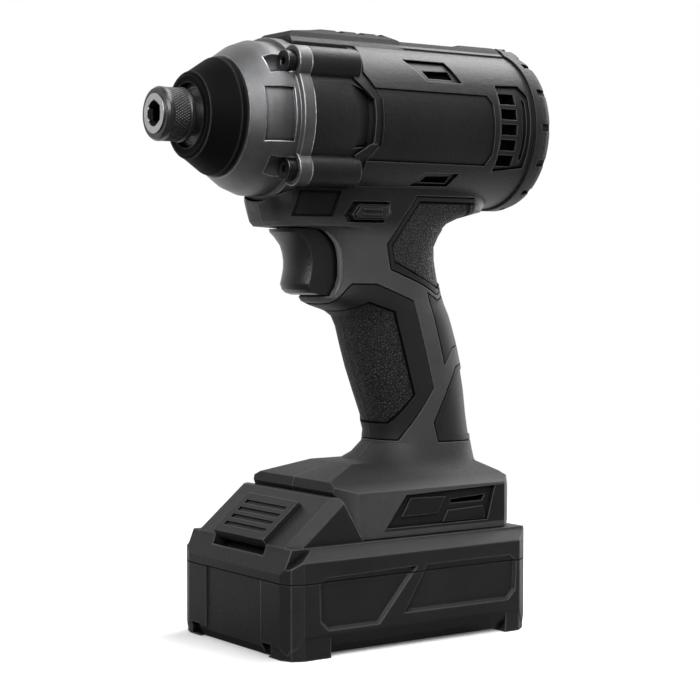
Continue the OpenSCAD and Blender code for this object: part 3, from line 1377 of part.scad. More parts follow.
module battery_lower_case() {
  color("#353739") difference() {
    union() {
      pack_body(0, split_z);
      corner_feet();
    }
    bar(-cell_room_x, cell_room_x, cell_room_y, pack_wall, span);
    side_panel(panel_a_shares);
    side_panel(panel_b_shares);
    difference() {
      union() {
        bar(bx(pad_rear_shares[1]), bx(pad_front_shares[0]), span, -cut, base_lift);
        bar(bx(pad_rear_shares[0]), bx(pad_front_shares[1]), by(base_w_share), -cut, base_lift);
      }
      bar(-bx(base_pad_share), bx(base_pad_share), by(base_pad_share), -2 * cut, span);
    }
    for (s = notch_y_shares) {
      box(bx(notch_x_share), span, by(s), by(s) + 3 * pack_border, base_lift / 2, 2 * pack_wall + base_lift);
    }
    bar(bx(1) - panel_depth, span, by(front_panel_share), pack_wall + base_lift, span);
    pack_screw_places() {
      translate([0, 0, -span]) cylinder(h = span, r = pack_head_r + end_gap);
      cylinder(h = span, r = pack_shank_r);
    }
  }
}
slope_len = (nose_z - pack_h) / sin(slope_angle);
module on_slope() {
  translate([nose_x, 0, nose_z]) rotate([0, slope_angle, 0]) children();
}
nose_x1 = nose_x + slope_len * cos(slope_angle);
nose_back_x = bx(foot_side_shares[0][0]) + pack_gap * 2;
nose_lean = bx(foot_side_shares[1][0] - foot_side_shares[0][0]) / (shoulder_share * foot_h);
module nose() {
  intersection() {
    side_prism([[nose_back_x, split_z], [nose_back_x, foot_z0],
      [nose_back_x + nose_lean * (nose_z - foot_z0), nose_z], [nose_x, nose_z], [nose_x1, pack_h],
      [nose_x1 + pack_border, split_z]], -span, span);
    on_slope() end_prism([[-nose_half_w, 0], [-nose_half_w - nose_bevel, -nose_bevel],
      [-nose_half_w - nose_bevel, -span], [nose_half_w + nose_bevel, -span],
      [nose_half_w + nose_bevel, -nose_bevel], [nose_half_w, 0]], -span, span);
    plan_prism(both_y(pack_pts_plan()), 0, span);
  }
}
// Latch: shares of its spring, arm's room, post and ridges
spring_share = 1.5;
arm_room_share = 2.2;
post_shares = [0.33, 1.3];
ridge_share = 0.8;
arm_z1 = guide_z1 - pack_wall - latch_gap;
arm_z0 = arm_z1 - arm_t;
well_z0 = cell_top - latch_wire_r;
floor_z = pack_h + pack_wall - latch_gap;
spring_x = cell_pitch * spring_share;
tongue_back_x = tongue_x - tongue_t - latch_travel;
module latch_room() {
  on_slope() translate([latch_down - latch_gap, -latch_half_w - latch_gap,
    latch_rise - latch_t - latch_travel - latch_gap])
    cube([latch_l + latch_travel, 2 * (latch_half_w + latch_gap), span]);
  side_prism([[tongue_back_x, floor_z], [nose_x1 - arm_room_share * latch_travel, floor_z],
    [nose_x + latch_down, nose_z - latch_down - latch_t], [nose_x, nose_z - latch_t],
    [nose_x - latch_gap, arm_z1 + latch_gap], [tongue_back_x, arm_z1 + latch_gap]],
    -tongue_half_w - 2 * latch_gap, tongue_half_w + 2 * latch_gap);
  bar(tongue_back_x, tongue_x + latch_gap, tongue_half_w + latch_gap, floor_z,
    span);
  translate([spring_x, 0, well_z0]) cylinder(h = pack_h, r = latch_spring_r + latch_wire_r + latch_gap);
}
board_x0 = -guide_back + pack_wall;
board_x1 = tongue_back_x - pack_wall;
guide_end_x = nose_back_x + nose_lean * (rail_z0 + rail_h + rail_gap - foot_z0);
module guide_block() {
  difference() {
    bar(-guide_back, nose_x, guide_half_w, cell_top, guide_z1);
    for (i = [-1, 1]) {
      translate([0, i * (guide_half_w - rail_d / 2 + cut / 2), 0]) box(-span, guide_end_x,
        -rail_d / 2 - cut / 2, rail_d / 2 + cut / 2, rail_z0 - rail_gap, rail_z0 + rail_h + rail_gap);
    }
  }
}
module battery_upper_case() {
  color("#353739") difference() {
    union() {
      difference() {
        pack_body(split_z, pack_h);
        for (i = [0, 1]) {
          mirror([0, i, 0]) side_prism(pack_pts(brow_shares), by(pack_end_shares[5][0]), span);
        }
        bar(-cell_room_x, cell_room_x, cell_room_y, 0, cell_top);
        side_panel(panel_a_shares);
        side_panel(panel_b_shares);
      }
      difference() {
        intersection() {
          nose();
          bar(-span, span, span, split_z, span);
        }
        bar(-span, cell_room_x, cell_room_y, 0, cell_top);
      }
      guide_block();
      translate([spring_x, 0, well_z0 - pack_wall / 4])
        cylinder(h = pack_h - well_z0, r = latch_spring_r + pack_wall);
    }
    latch_room();
    bar(board_x0, board_x1, pack_board_half_w, cell_top - cut, guide_z1 - pack_wall);
    blade_places() box(-span, board_x0 + cut, -blade_t / 2 - latch_gap, blade_t / 2 + latch_gap,
      blade_z0 - latch_gap, blade_z0 + blade_h + latch_gap);
    pack_screw_places() translate([0, 0, -span]) cylinder(h = span + pack_shank_len, r = pack_shank_r);
  }
}
module latch_button() {
  color("#2b2d2f") {
    on_slope() difference() {
      translate([latch_down, -latch_half_w, latch_rise - latch_t]) cube([latch_l, 2 * latch_half_w, latch_t]);
      for (i = [0:latch_ridges]) {
        translate([latch_down + latch_l / 2 + (i - latch_ridges / 2 - 1 / 4) * latch_ridge_pitch,
          -latch_half_w * ridge_share, latch_rise - latch_ridge_h])
          cube([latch_ridge_pitch / 2, 2 * latch_half_w * ridge_share, span]);
      }
    }
    bar(tongue_x - tongue_t, tongue_x, tongue_half_w, arm_z0, tongue_z1);
    bar(tongue_x - tongue_t, nose_x + latch_down, tongue_half_w, arm_z0, arm_z1);
    intersection() {
      box(nose_x + post_shares[0] * latch_down, nose_x + post_shares[1] * latch_down, -tongue_half_w,
        tongue_half_w, arm_z0, nose_z);
      on_slope() translate([latch_down, -span / 2, -span])
        cube([span, span, span + latch_rise - latch_t / 2]);
    }
  }
}
module latch_spring() {
  color("#9a9da0") translate([spring_x, 0, well_z0])
    coil(latch_spring_r, latch_wire_r, arm_z0 - well_z0, latch_turns);
}
module cell_places() {
  for (i = [0:cell_row - 1], j = [0, 1]) {
    translate([(i - (cell_row - 1) / 2) * cell_pitch, 0, cell_z0 + j * layer_pitch])
      rotate([90, 0, 0]) children();
  }
}
module battery_cells() { color("#3f6a86") cell_places() cylinder(h = cell_len, r = cell_r, center = true); }
module cell_holders() {
  color("#3a3c3e") for (i = [-1, 1]) {
    difference() {
      translate([0, i * cell_len / 3, 0])
        bar(-cell_room_x, cell_room_x, holder_t / 2, pack_wall, cell_top);
      cell_places() cylinder(h = cell_len, r = cell_r, center = true);
    }
  }
}
module cell_straps() {
  color("#b4b6b8") for (i = [0:cell_row - 1], j = [-1, 1]) {
    translate([(i - (cell_row - 1) / 2) * cell_pitch, j * (cell_len / 2 + strap_t / 2), 0])
      bar(-strap_w / 2, strap_w / 2, strap_t / 2, cell_z0 - strap_w / 2,
        cell_z0 + layer_pitch + strap_w / 2);
  }
}
module battery_board() {
  color("#2e4a36")
    bar(board_x0, board_x1, pack_board_half_w, pack_board_z, pack_board_z + board_t);
}
module battery_clips() {
  color("#b08d4a") blade_places() for (i = [-1, 1]) {
    translate([0, i * (blade_t / 2 + end_gap + clip_leaf / 2), 0])
      bar(board_x0 + end_gap, board_x0 + end_gap + clip_len, clip_leaf / 2,
        pack_board_z + board_t, blade_z0 + blade_h);
  }
}
module battery_screws() {
  color("#1d1e1f") pack_screw_places() mirror([0, 0, 1])
    slotted_screw(pack_head_r, pack_head_h, pack_shank_r, pack_shank_len);
}

left_housing();
right_housing();
rear_cover();
hammer_case();
nose_bumper();
front_grip_left();
front_grip_right();
web_grip_left();
web_grip_right();
heel_grip_left();
heel_grip_right();
tail_grip_left();
tail_grip_right();
housing_screws();
hammer_case_screws();
rear_cover_screws();
trigger();
selector();
switch_body();
control_board();
terminal_block();
tool_contacts();
stator_core();
stator_windings();
rotor_core();
motor_shaft();
cooling_fan();
rear_bearing();
front_bearing();
gearbox_plate();
ring_gear();
pinion();
planet_gear_1();
planet_gear_2();
planet_gear_3();
planet_pins();
spindle();
spindle_bearing();
hammer();
hammer_spring();
cam_balls();
anvil();
anvil_bush();
release_sleeve();
sleeve_spring();
chuck_balls();
sleeve_washer();
retaining_ring();
battery_lower_case();
battery_upper_case();
latch_button();
latch_spring();
battery_cells();
cell_holders();
cell_straps();
battery_board();
battery_clips();
battery_screws();
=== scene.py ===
"""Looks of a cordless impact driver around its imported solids: finishes, worked edges, knurl, grain and stage."""

import json
import math

import bpy
import numpy as np
from bpy.props import FloatProperty, FloatVectorProperty, IntProperty, PointerProperty
from bpy.types import Operator, Panel, PropertyGroup
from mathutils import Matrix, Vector


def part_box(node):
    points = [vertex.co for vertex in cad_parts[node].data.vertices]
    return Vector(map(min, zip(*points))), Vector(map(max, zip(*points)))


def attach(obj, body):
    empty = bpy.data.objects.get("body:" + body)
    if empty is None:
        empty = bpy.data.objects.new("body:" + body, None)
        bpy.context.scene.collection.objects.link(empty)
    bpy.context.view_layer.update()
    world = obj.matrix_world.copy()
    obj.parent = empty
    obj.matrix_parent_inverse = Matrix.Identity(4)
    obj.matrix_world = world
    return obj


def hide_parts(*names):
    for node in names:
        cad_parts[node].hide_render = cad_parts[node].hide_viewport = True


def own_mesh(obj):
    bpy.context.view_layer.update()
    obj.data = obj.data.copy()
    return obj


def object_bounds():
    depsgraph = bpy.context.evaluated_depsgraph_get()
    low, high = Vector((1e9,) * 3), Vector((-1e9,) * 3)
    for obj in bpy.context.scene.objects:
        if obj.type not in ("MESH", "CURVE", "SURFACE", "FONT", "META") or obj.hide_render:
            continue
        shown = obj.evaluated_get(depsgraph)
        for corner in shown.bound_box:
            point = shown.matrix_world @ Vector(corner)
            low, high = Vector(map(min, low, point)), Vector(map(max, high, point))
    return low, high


bl_info = {
    "name": "Impact driver looks",
    "version": (1, 0, 0),
    "blender": (4, 5, 0),
    "location": "View3D > Sidebar > Driver",
    "description": "Finishes and fine forms of a cordless impact driver",
    "category": "Object",
}

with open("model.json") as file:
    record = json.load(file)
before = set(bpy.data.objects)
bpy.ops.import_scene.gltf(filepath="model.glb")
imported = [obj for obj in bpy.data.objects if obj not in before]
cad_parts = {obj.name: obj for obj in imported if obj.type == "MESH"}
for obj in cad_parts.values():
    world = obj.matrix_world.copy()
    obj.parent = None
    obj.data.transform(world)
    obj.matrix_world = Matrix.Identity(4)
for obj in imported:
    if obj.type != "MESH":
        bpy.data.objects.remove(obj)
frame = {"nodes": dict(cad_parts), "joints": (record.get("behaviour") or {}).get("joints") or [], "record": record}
CAD_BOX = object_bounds()
NODES = frame["nodes"]
BODY = {node: body for body, names in frame["record"]["behaviour"]["bodies"].items() for node in names}
AXIS_Z = (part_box("anvil")[0].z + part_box("anvil")[1].z) / 2
MM = 0.001
FORWARD, LEFT, UP = (1, 0, 0), (0, 1, 0), (0, 0, 1)

# Outlines in X and Z, clockwise, as shares of their node's length and height.
CHIN_PATCH = ((0.771, 0.677), (0.92, 0.677), (0.941, 0.63), (0.803, 0.63))
FRONT_FIELD = ((1.236, 0.808), (1.236, 0.106), (0.374, 0.106), (0.191, 0.29), (0.414, 0.824), (0.851, 0.82))
FRONT_PEAK = ((0.851, 0.82), (0.851, 0.6), (0.32, 0.6), (0.414, 0.824), (0.679, 0.886))
WEB_FIELD = ((0.689, 1.015), (1.012, 0.515), (0.958, 0.253), (0.569, 0.09), (0.368, -0.014), (-0.4, -0.014),
             (-0.4, 1.015))
# The same, as shares of the battery's half length and of the foot's height.
FOOT_TRIM = ((-1.05, 0.79), (-0.007, 0.73), (0.18, 0.1), (-1.05, 0.1))
FOOT_HEIGHT = 22 * MM

# Slope of the border between the barrel's and the handle's tone, and where the vents end at the front.
TONE_SLOPE = 0.08
VENTS_END = -14 * MM

# Share of the height of the trigger's rims at which they stand back most.
RIM_BEND = 0.3

# Masks of a finish: samples, reach of a gap in edge radii, and the readings that count as 0 and as 1.
SAMPLES, GAP_REACH = 6, 2.5
CLOSED, OPEN = 0.5, 0.9
FLAT, KEEN = 0.01, 0.12
NOISE_LOW, NOISE_HIGH = 0.3, 0.7
# Share of black in a gap: painted shade.
GAP_BLACK = 0.9

# Springs: node, wire radius, turns, and the number of the axis that they lie along.
SPRINGS = (("hammer_spring", 1.5 * MM, 4, 0), ("sleeve_spring", 0.35 * MM, 3, 0), ("latch_spring", 0.4 * MM, 4, 2))

# Lamps: place, the point that each looks at, and size, in metres.
LAMPS = {
    "key": ((0.75, 0.75, 0.75), (0.0, 0.0, 0.12), (0.9, 0.7)),
    "top": ((-0.05, 0.35, 0.95), (0.0, 0.0, 0.1), (0.7, 0.5)),
    "rim": ((-0.6, -0.2, 1.0), (0.0, 0.0, 0.2), (0.6, 0.6)),
    "side": ((-1.0, -0.1, 0.3), (0.0, 0.0, 0.13), (0.5, 0.7)),
}
SENSOR_MM = 36.0

# Floor: half its length, the distances between which it turns white to the eye, the shares of the part's half length
# and width between which its shadow is lifted, and the light that lifts it.
FLOOR_HALF = 3.0
FLOOR_NEAR, FLOOR_FAR = 0.12, 0.45
LIFT_FROM, LIFT_TO, LIFT = 0.6, 1.4, 0.55
# How far ahead of the camera a direction points where the room is dim, and where it is white.
ROOM_DIM, ROOM_WHITE = -0.2, 0.6


def colour_prop(name, description, default):
    """A linear colour that a user may change."""
    return FloatVectorProperty(name=name, description=description, default=default, subtype="COLOR", min=0, max=1)


def length_prop(name, description, default):
    """A length in metres that a user may change."""
    return FloatProperty(name=name, description=description, default=default, unit="LENGTH", precision=5)


def power_prop(name, description, default):
    """The power of a lamp in watts."""
    return FloatProperty(name=name, description=description, default=default, unit="POWER")


class DriverColours(PropertyGroup):
    """Colours of the driver's finishes."""

    housing: colour_prop("Housing", "Satin moulded plastic of the shells", (0.0085, 0.0086, 0.0089))
    battery: colour_prop("Battery", "Satin plastic of the battery cases", (0.0125, 0.0126, 0.013))
    cover: colour_prop("Rear cover", "Plastic of the rear cover and controls", (0.0105, 0.0106, 0.011))
    rubber: colour_prop("Rubber", "Grip pads and bumper", (0.0115, 0.0115, 0.0118))
    casting: colour_prop("Casting", "Cast hammer case", (0.138, 0.139, 0.142))
    dark_steel: colour_prop("Dark steel", "Black finish of sleeve and screws", (0.09, 0.09, 0.092))
    bright_steel: colour_prop("Bright steel", "Ground steel of the anvil and gears", (0.5, 0.5, 0.49))
    copper: colour_prop("Copper", "Varnished motor windings", (0.2, 0.08, 0.035))
    brass: colour_prop("Brass", "Contacts of the tool and the battery", (0.6, 0.43, 0.18))
    board: colour_prop("Board", "Circuit boards", (0.015, 0.08, 0.03))
    wrap: colour_prop("Cell wrap", "Battery cell sleeves", (0.03, 0.12, 0.22))


class DriverSizes(PropertyGroup):
    """Sizes of the fine forms."""

    edge_round: length_prop("Edge round", "Radius of the moulded edges", 0.6 * MM)
    battery_round: length_prop("Battery edge round", "Radius of the battery's and the bumper's edges", 1.1 * MM)
    metal_round: length_prop("Metal edge round", "Radius of the cast edges", 0.7 * MM)
    # The pad rim is painted shade along the pads' seams.
    pad_rim: length_prop("Pad rim", "Width of the dark rim of a grip pad", 0.45 * MM)
    grain: length_prop("Leather grain", "Cell size of the grips' grain", 1.1 * MM)
    texture: length_prop("Mould texture", "Grain size of the moulded plastic", 0.45 * MM)
    knurl_count: IntProperty(name="Knurl count", description="Knurl ridges around the sleeve", default=60, min=20)
    knurl_depth: length_prop("Knurl depth", "Depth of the knurl", 0.42 * MM)


class DriverStage(PropertyGroup):
    """Floor, light and camera."""

    floor: colour_prop("Floor", "Pale floor", (0.9, 0.9, 0.9))
    camera: FloatVectorProperty(name="Camera", description="Place of the camera",
                                default=(0.4246, 0.5936, 0.1435), subtype="XYZ", unit="LENGTH")
    ahead: FloatVectorProperty(name="Ahead", description="Level direction that the camera looks in",
                               default=(-0.5793, -0.8151, 0.0), subtype="DIRECTION")
    pitch: FloatProperty(name="Pitch", description="Angle of the camera below the level", subtype="ANGLE",
                         default=math.radians(2.44))
    lens: FloatProperty(name="Lens", description="Focal length on a 36 mm sensor, in millimetres", default=94.0)
    key: power_prop("Key light", "Power of the main light, at the front left", 12.0)
    top: power_prop("Top light", "Power of the light above the left side", 6.0)
    rim: power_prop("Rim light", "Power of the light above the rear", 6.0)
    side: power_prop("Side light", "Power of the low light behind the rear cover", 5.0)
    dim: FloatProperty(name="Dim side", description="Brightness of the room on the camera's side", default=0.05)
    sky: FloatProperty(name="Sky", description="Strength of the even light", default=0.12)


class Wire:
    """A socket of a node tree that takes part in Python expressions; each operator adds one Math node."""

    def __init__(self, tree, socket=None):
        self.tree = tree
        self.socket = socket

    def node(self, kind, settings=(), inputs=(), out=0):
        """Adds a node of any kind: its settings first, then the values or links of its sockets."""
        made = self.tree.nodes.new(kind)
        for key, value in dict(settings).items():
            setattr(made, key, value)
        for key, value in dict(inputs).items():
            if isinstance(value, Wire):
                self.tree.links.new(value.socket, made.inputs[key])
            else:
                made.inputs[key].default_value = value
        return Wire(self.tree, made.outputs[out])

    def math(self, operation, a, b=0.0):
        """Adds a Math node."""
        return self.node("ShaderNodeMath", {"operation": operation}, {0: a, 1: b})

    def __add__(self, other):
        return self.math("ADD", self, other)

    __radd__ = __add__

    def __sub__(self, other):
        return self.math("SUBTRACT", self, other)

    def __rsub__(self, other):
        return self.math("SUBTRACT", other, self)

    def __mul__(self, other):
        return self.math("MULTIPLY", self, other)

    __rmul__ = __mul__

    def __pow__(self, other):
        return self.math("POWER", self, other)

    def __lt__(self, other):
        return self.math("LESS_THAN", self, other)

    def __abs__(self):
        return self.math("ABSOLUTE", self)

    def most(self, other):
        """The greater of two values."""
        return self.math("MAXIMUM", self, other)

    def clamped(self, low, high):
        """The value brought from low..high to 0..1."""
        return self.node("ShaderNodeMapRange", {"clamp": True}, {"Value": self, "From Min": low, "From Max": high})

    def near_zero(self, full, none):
        """A mask that is 1 where the value is within full of zero, and 0 where it is beyond none."""
        return 1 - abs(self).clamped(full, none)

    def spread(self):
        """Noise brought from its usual range to 0..1."""
        return self.clamped(NOISE_LOW, NOISE_HIGH)

    def noise(self, size, detail=2.0, rough=0.5):
        """Noise with features of a given size in metres, read at this wire's coordinates."""
        return self.node("ShaderNodeTexNoise", {}, {
            "Vector": self, "Scale": 1 / size, "Detail": detail, "Roughness": rough})

    def cells(self, size):
        """Distance to the borders of cells of a given size in metres, read at this wire's coordinates."""
        return self.node("ShaderNodeTexVoronoi", {"feature": "DISTANCE_TO_EDGE"}, {"Vector": self, "Scale": 1 / size})

    def along(self, way):
        """How far this wire's vector goes along a direction."""
        return self.node("ShaderNodeVectorMath", {"operation": "DOT_PRODUCT"}, {0: self, 1: way}, out="Value")

    def off_axis(self):
        """Distance of this wire's coordinates from the drive axis."""
        across, up = self.along(LEFT), self.along(UP) - AXIS_Z
        return (across * across + up * up) ** 0.5

    def inside(self, corners):
        """Depth in metres inside a convex outline in X and Z, given clockwise: the least depth behind its sides."""
        depth = None
        for (x0, z0), (x1, z1) in zip(corners, corners[1:] + corners[:1]):
            length = math.hypot(x1 - x0, z1 - z0)
            way = ((z1 - z0) / length, 0.0, (x0 - x1) / length)
            behind = self.along(way) - (way[0] * x0 + way[2] * z0)
            depth = behind if depth is None else self.math("MINIMUM", depth, behind)
        return depth

    def blend(self, first, second):
        """Mix of two colours by this wire."""
        shades = [s if isinstance(s, Wire) else (*s[:3], 1) for s in (first, second)]
        return self.node("ShaderNodeMix", {"data_type": "RGBA"}, {0: self, 6: shades[0], 7: shades[1]}, out=2)


class Finish:
    """A material under work: its shader, object coordinates, rounded normal, and masks of open and raised places."""

    def __init__(self, name, edge):
        self.material = bpy.data.materials.new(name)
        self.material.use_nodes = True
        self.tree = self.material.node_tree
        self.shader = self.tree.nodes["Principled BSDF"]
        start = Wire(self.tree)
        self.place = start.node("ShaderNodeTexCoord", out="Object")
        self.round = start.node("ShaderNodeBevel", {"samples": SAMPLES}, {"Radius": edge})
        flat = start.node("ShaderNodeNewGeometry", out="Normal")
        near = start.node("ShaderNodeAmbientOcclusion", {"samples": SAMPLES, "only_local": True}, {
            "Distance": GAP_REACH * edge}, out="AO")
        self.open = near.clamped(CLOSED, OPEN)
        turned = 1 - self.round.along(flat)
        self.edge = turned.clamped(FLAT, KEEN) * self.open

    def put(self, socket, value):
        """Sets a socket of the shader to a wire or to a plain value."""
        if isinstance(value, Wire):
            self.tree.links.new(value.socket, self.shader.inputs[socket])
        else:
            self.shader.inputs[socket].default_value = value

    def blacken(self, mask):
        """Painted shade: turns the surface most of the way into black where a mask is 1, for the shade deep in a gap.
        """
        gap = self.place.node("ShaderNodeBsdfPrincipled", {}, {
            "Base Color": (0.001, 0.001, 0.001, 1), "Roughness": 0.95, "Specular IOR Level": 0.02})
        plain = Wire(self.tree, self.shader.outputs[0])
        mixed = self.place.node("ShaderNodeMixShader", {}, {0: mask * GAP_BLACK, 1: plain, 2: gap})
        self.tree.links.new(mixed.socket, self.tree.nodes["Material Output"].inputs["Surface"])

    def bump(self, height, depth):
        """Normal of the rounded edges with a height field on it, whose 0 to 1 is a depth in metres."""
        self.put("Normal", self.place.node("ShaderNodeBump", {}, {
            "Strength": 1.0, "Distance": depth, "Height": height, "Normal": self.round}))


def shade(colour, factor):
    """A colour made lighter or darker."""
    return tuple(min(1.0, c * factor) for c in colour[:3])


class Plastic(Finish):
    """Moulded plastic under work: spark-eroded grain and slow tone changes. Its tone, dullness and gaps are gathered
    until it is done."""

    def __init__(self, name, colour, edge, texture, rough):
        super().__init__(name, edge)
        self.colour = colour
        self.fine = self.place.noise(texture, 3.0) * 0.5 + self.place.noise(3 * texture) * 0.5
        self.mottle = (self.place.noise(22 * MM) * 0.5 + self.fine * 0.5).spread()
        self.tone = self.mottled(1.0)
        self.dull = rough + (self.fine - 0.5) * 0.3 - self.edge * 0.1
        # Painted shade: the occluded places start the mask of gaps that are blackened.
        self.gap = 1 - self.open

    def mottled(self, factor):
        """The colour made lighter or darker, with the slow tone changes in it."""
        return self.mottle.blend(shade(self.colour, 0.75 * factor), shade(self.colour, 1.25 * factor))

    def tint(self, mask, factor):
        """Brings the tone to the colour times a factor where a mask is 1."""
        self.tone = mask.blend(self.tone, shade(self.colour, factor))

    def wear(self, edge_light):
        """Painted shade: darkens the grooves. Painted highlight: makes the raised edges lighter."""
        self.tint(1 - self.open, 0.2)
        self.tint(self.edge * 0.75, edge_light)

    def done(self, shine):
        """Joins what was gathered to the shader."""
        self.put("Base Color", self.tone)
        self.put("Roughness", self.dull)
        self.put("Specular IOR Level", shine)
        self.bump(self.fine, 0.2 * MM)
        self.blacken(self.gap)
        return self.material


def plastic(name, colour, edge, texture, rough=0.5, edge_light=5.0, shine=0.36, gap=None):
    """Moulded plastic of one tone, with painted highlights on its edges and painted shade in its grooves. The function
    gap gives a mask of further gaps in painted black shade from the coordinates."""
    f = Plastic(name, colour, edge, texture, rough)
    if gap:
        f.gap = f.gap.most(gap(f.place))
    f.wear(edge_light)
    return f.done(shine)


def field_corners(node, shares):
    """Corners of a field in X and Z, from shares of its node's length and height."""
    low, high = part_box(node)
    return [(low.x + x * (high.x - low.x), low.z + z * (high.z - low.z)) for x, z in shares]


def housing_plastic(name, colour, edge, texture):
    """Plastic of the shells: black on the barrel and paler on the handle and foot. The foot's top and trim and the
    chin patch are darker, the ridge on the barrel's top is duller, and the vents have painted black shade inside."""
    f = Plastic(name, colour, edge, texture, rough=0.4)
    low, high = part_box("left_housing")
    height = f.place.along(UP)
    pale_tone, foot_tone, trim_tone, chin_tone, ridge_tone = 4.5, 1.2, 0.6, 0.5, 0.4
    soft_edge = 0.3 * MM

    pale_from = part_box("hammer_case")[0].z - 3 * MM - TONE_SLOPE * high.x
    pale = 1 - f.place.along((-TONE_SLOPE, 0, 1)).clamped(pale_from - 8 * MM, pale_from)
    f.tone = pale.blend(f.tone, f.mottled(pale_tone))
    f.dull = f.dull + pale * 0.22

    foot_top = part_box("front_grip_left")[0].z + 4 * MM
    under = 1 - height.clamped(foot_top - 12 * MM, foot_top)
    beside = abs(f.place.along(LEFT)).clamped(27 * MM, 33 * MM)
    f.tint((1 - beside) * under, foot_tone)
    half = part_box("battery_lower_case")[1].x
    trim = f.place.inside([(half * x, low.z + z * FOOT_HEIGHT) for x, z in FOOT_TRIM])
    f.tint(trim.clamped(0, soft_edge), trim_tone)

    chin = f.place.inside(field_corners("left_housing", CHIN_PATCH))
    f.tint(chin.clamped(0, soft_edge), chin_tone)
    # Painted shade: a black line round the chin patch's recess.
    f.gap = f.gap.most(chin.near_zero(0.25 * MM, 0.6 * MM))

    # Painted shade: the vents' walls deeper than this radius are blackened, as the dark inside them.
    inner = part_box("rear_cover")[1].y - 2.6 * MM
    deep = 1 - f.place.off_axis().clamped(inner - 0.6 * MM, inner)
    f.gap = f.gap.most(deep * (1 - f.place.along(FORWARD).clamped(VENTS_END - 1 * MM, VENTS_END)))

    # Painted shade in the grooves and strong painted highlights on the edges.
    f.wear(edge_light=12.0)
    crest = high.z - 4.8 * MM
    ridge = height.clamped(crest, crest + 0.5 * MM)
    f.tint(ridge * 0.7, ridge_tone)
    f.dull = f.dull + ridge * 0.3
    return f.done(shine=0.36)


def grip_rubber(name, colour, edge, grain, field=(), border=0.0):
    """Grip rubber: dull, with painted black shade at its seams. With a field, given as convex outlines that join and
    drawn in by a border, it has leather cells between creases inside the field, with painted shade in the creases and
    painted highlights on the cell tops, and a groove round it in painted black shade."""
    f = Finish(name, edge)
    fine = f.place.noise(0.35 * MM, 3.0)
    tone = fine.spread().blend(shade(colour, 0.7), colour)
    # Painted shade: the pad's edges are blackened as the shade along its seams.
    gap, height = f.edge, fine * 0.15
    if field:
        depth = f.place.inside(field[0])
        for outline in field[1:]:
            depth = depth.most(f.place.inside(outline))
        depth = depth - border
        grained, groove = depth.clamped(0, 0.4 * MM), depth.near_zero(0.2 * MM, 0.5 * MM)
        sway = f.place.node("ShaderNodeTexNoise", {}, {"Vector": f.place, "Scale": 1 / (2.5 * grain)}, out="Color")
        warped = f.place.node("ShaderNodeVectorMath", {"operation": "MULTIPLY_ADD"}, {
            0: sway, 1: (grain, grain, grain), 2: f.place})
        crease = warped.cells(grain).clamped(0.02, 0.3)
        # Painted shade in the creases and painted highlights on the cell tops.
        tone = grained.blend(tone, crease.blend(shade(colour, 0.3), shade(colour, 2.1)))
        # Painted black shade in the groove round the field.
        gap, height = gap.most(groove), height + crease * grained - groove
    f.put("Base Color", tone)
    f.put("Roughness", 0.6 + (fine - 0.5) * 0.2)
    f.put("Specular IOR Level", 0.3)
    f.bump(height, 0.3 * MM)
    f.blacken(gap)
    return f.material


def bumper_rubber(name, colour, edge):
    """Smooth rubber of the bumper: dull black, with painted highlights on its edges."""
    f = Finish(name, edge)
    fine = f.place.noise(0.35 * MM, 3.0)
    body = fine.spread().blend(shade(colour, 0.8), shade(colour, 1.2))
    # Painted highlight: the edges are 25 times lighter.
    f.put("Base Color", f.edge.blend(body, shade(colour, 25.0)))
    f.put("Roughness", 0.6 + (fine - 0.5) * 0.2 - f.edge * 0.2)
    f.put("Specular IOR Level", 0.04)
    f.bump(fine, 0.05 * MM)
    return f.material


def casting(name, colour, edge):
    """Cast and blasted alloy: fine pitted grain, with painted shade in the hollows and painted highlights on the
    edges.
    """
    f = Finish(name, edge)
    fine = f.place.noise(0.32 * MM, 4.0, 0.6)
    slow = f.place.noise(9 * MM, 3.0)
    body = (slow * 0.4 + fine * 0.6).spread().blend(shade(colour, 0.7), shade(colour, 1.3))
    # Painted shade in the hollows and painted highlights on the edges.
    painted_hollow_shade = f.open.blend(shade(colour, 0.2), body)
    f.put("Base Color", f.edge.blend(painted_hollow_shade, shade(colour, 4.2)))
    f.put("Metallic", 0.85)
    f.put("Roughness", 0.44 + (fine - 0.5) * 0.25 - f.edge * 0.16)
    f.bump(fine, 0.12 * MM)
    return f.material


def steel(name, colour, edge, rough, metallic=1.0, edge_light=1.5, streak=(1.0, 1.0, 1.0), shade_radius=0.0):
    """Machined metal: marks drawn out by a streak in each axis, with edges lighter, partly from wear and partly as
    painted highlight, and painted shade in the hollows. Nearer to the drive axis than the radius shade_radius it is
    painted black, as the shade deep in a socket."""
    f = Finish(name, edge)
    lines = f.place.node("ShaderNodeMapping", {}, {"Vector": f.place, "Scale": streak}).noise(0.4 * MM)
    spots = f.place.noise(3 * MM, 3.0)
    body = spots.clamped(0.3, 0.75).blend(shade(colour, 0.88), shade(colour, 1.1))
    # Painted shade in the hollows; the edges lighter, partly wear and partly painted highlight.
    painted_hollow_shade = f.open.blend(shade(colour, 0.12), body)
    worn_and_highlit = (f.edge * 0.85).blend(painted_hollow_shade, shade(colour, edge_light))
    # Painted black shade inside the socket near the drive axis.
    if shade_radius:
        worn_and_highlit = f.place.off_axis().clamped(0.95 * shade_radius, shade_radius).blend(shade(colour, 0.02), worn_and_highlit)
    f.put("Base Color", worn_and_highlit)
    f.put("Metallic", metallic)
    f.put("Roughness", rough + (lines - 0.5) * 0.22)
    f.bump(lines, 0.006 * MM)
    return f.material


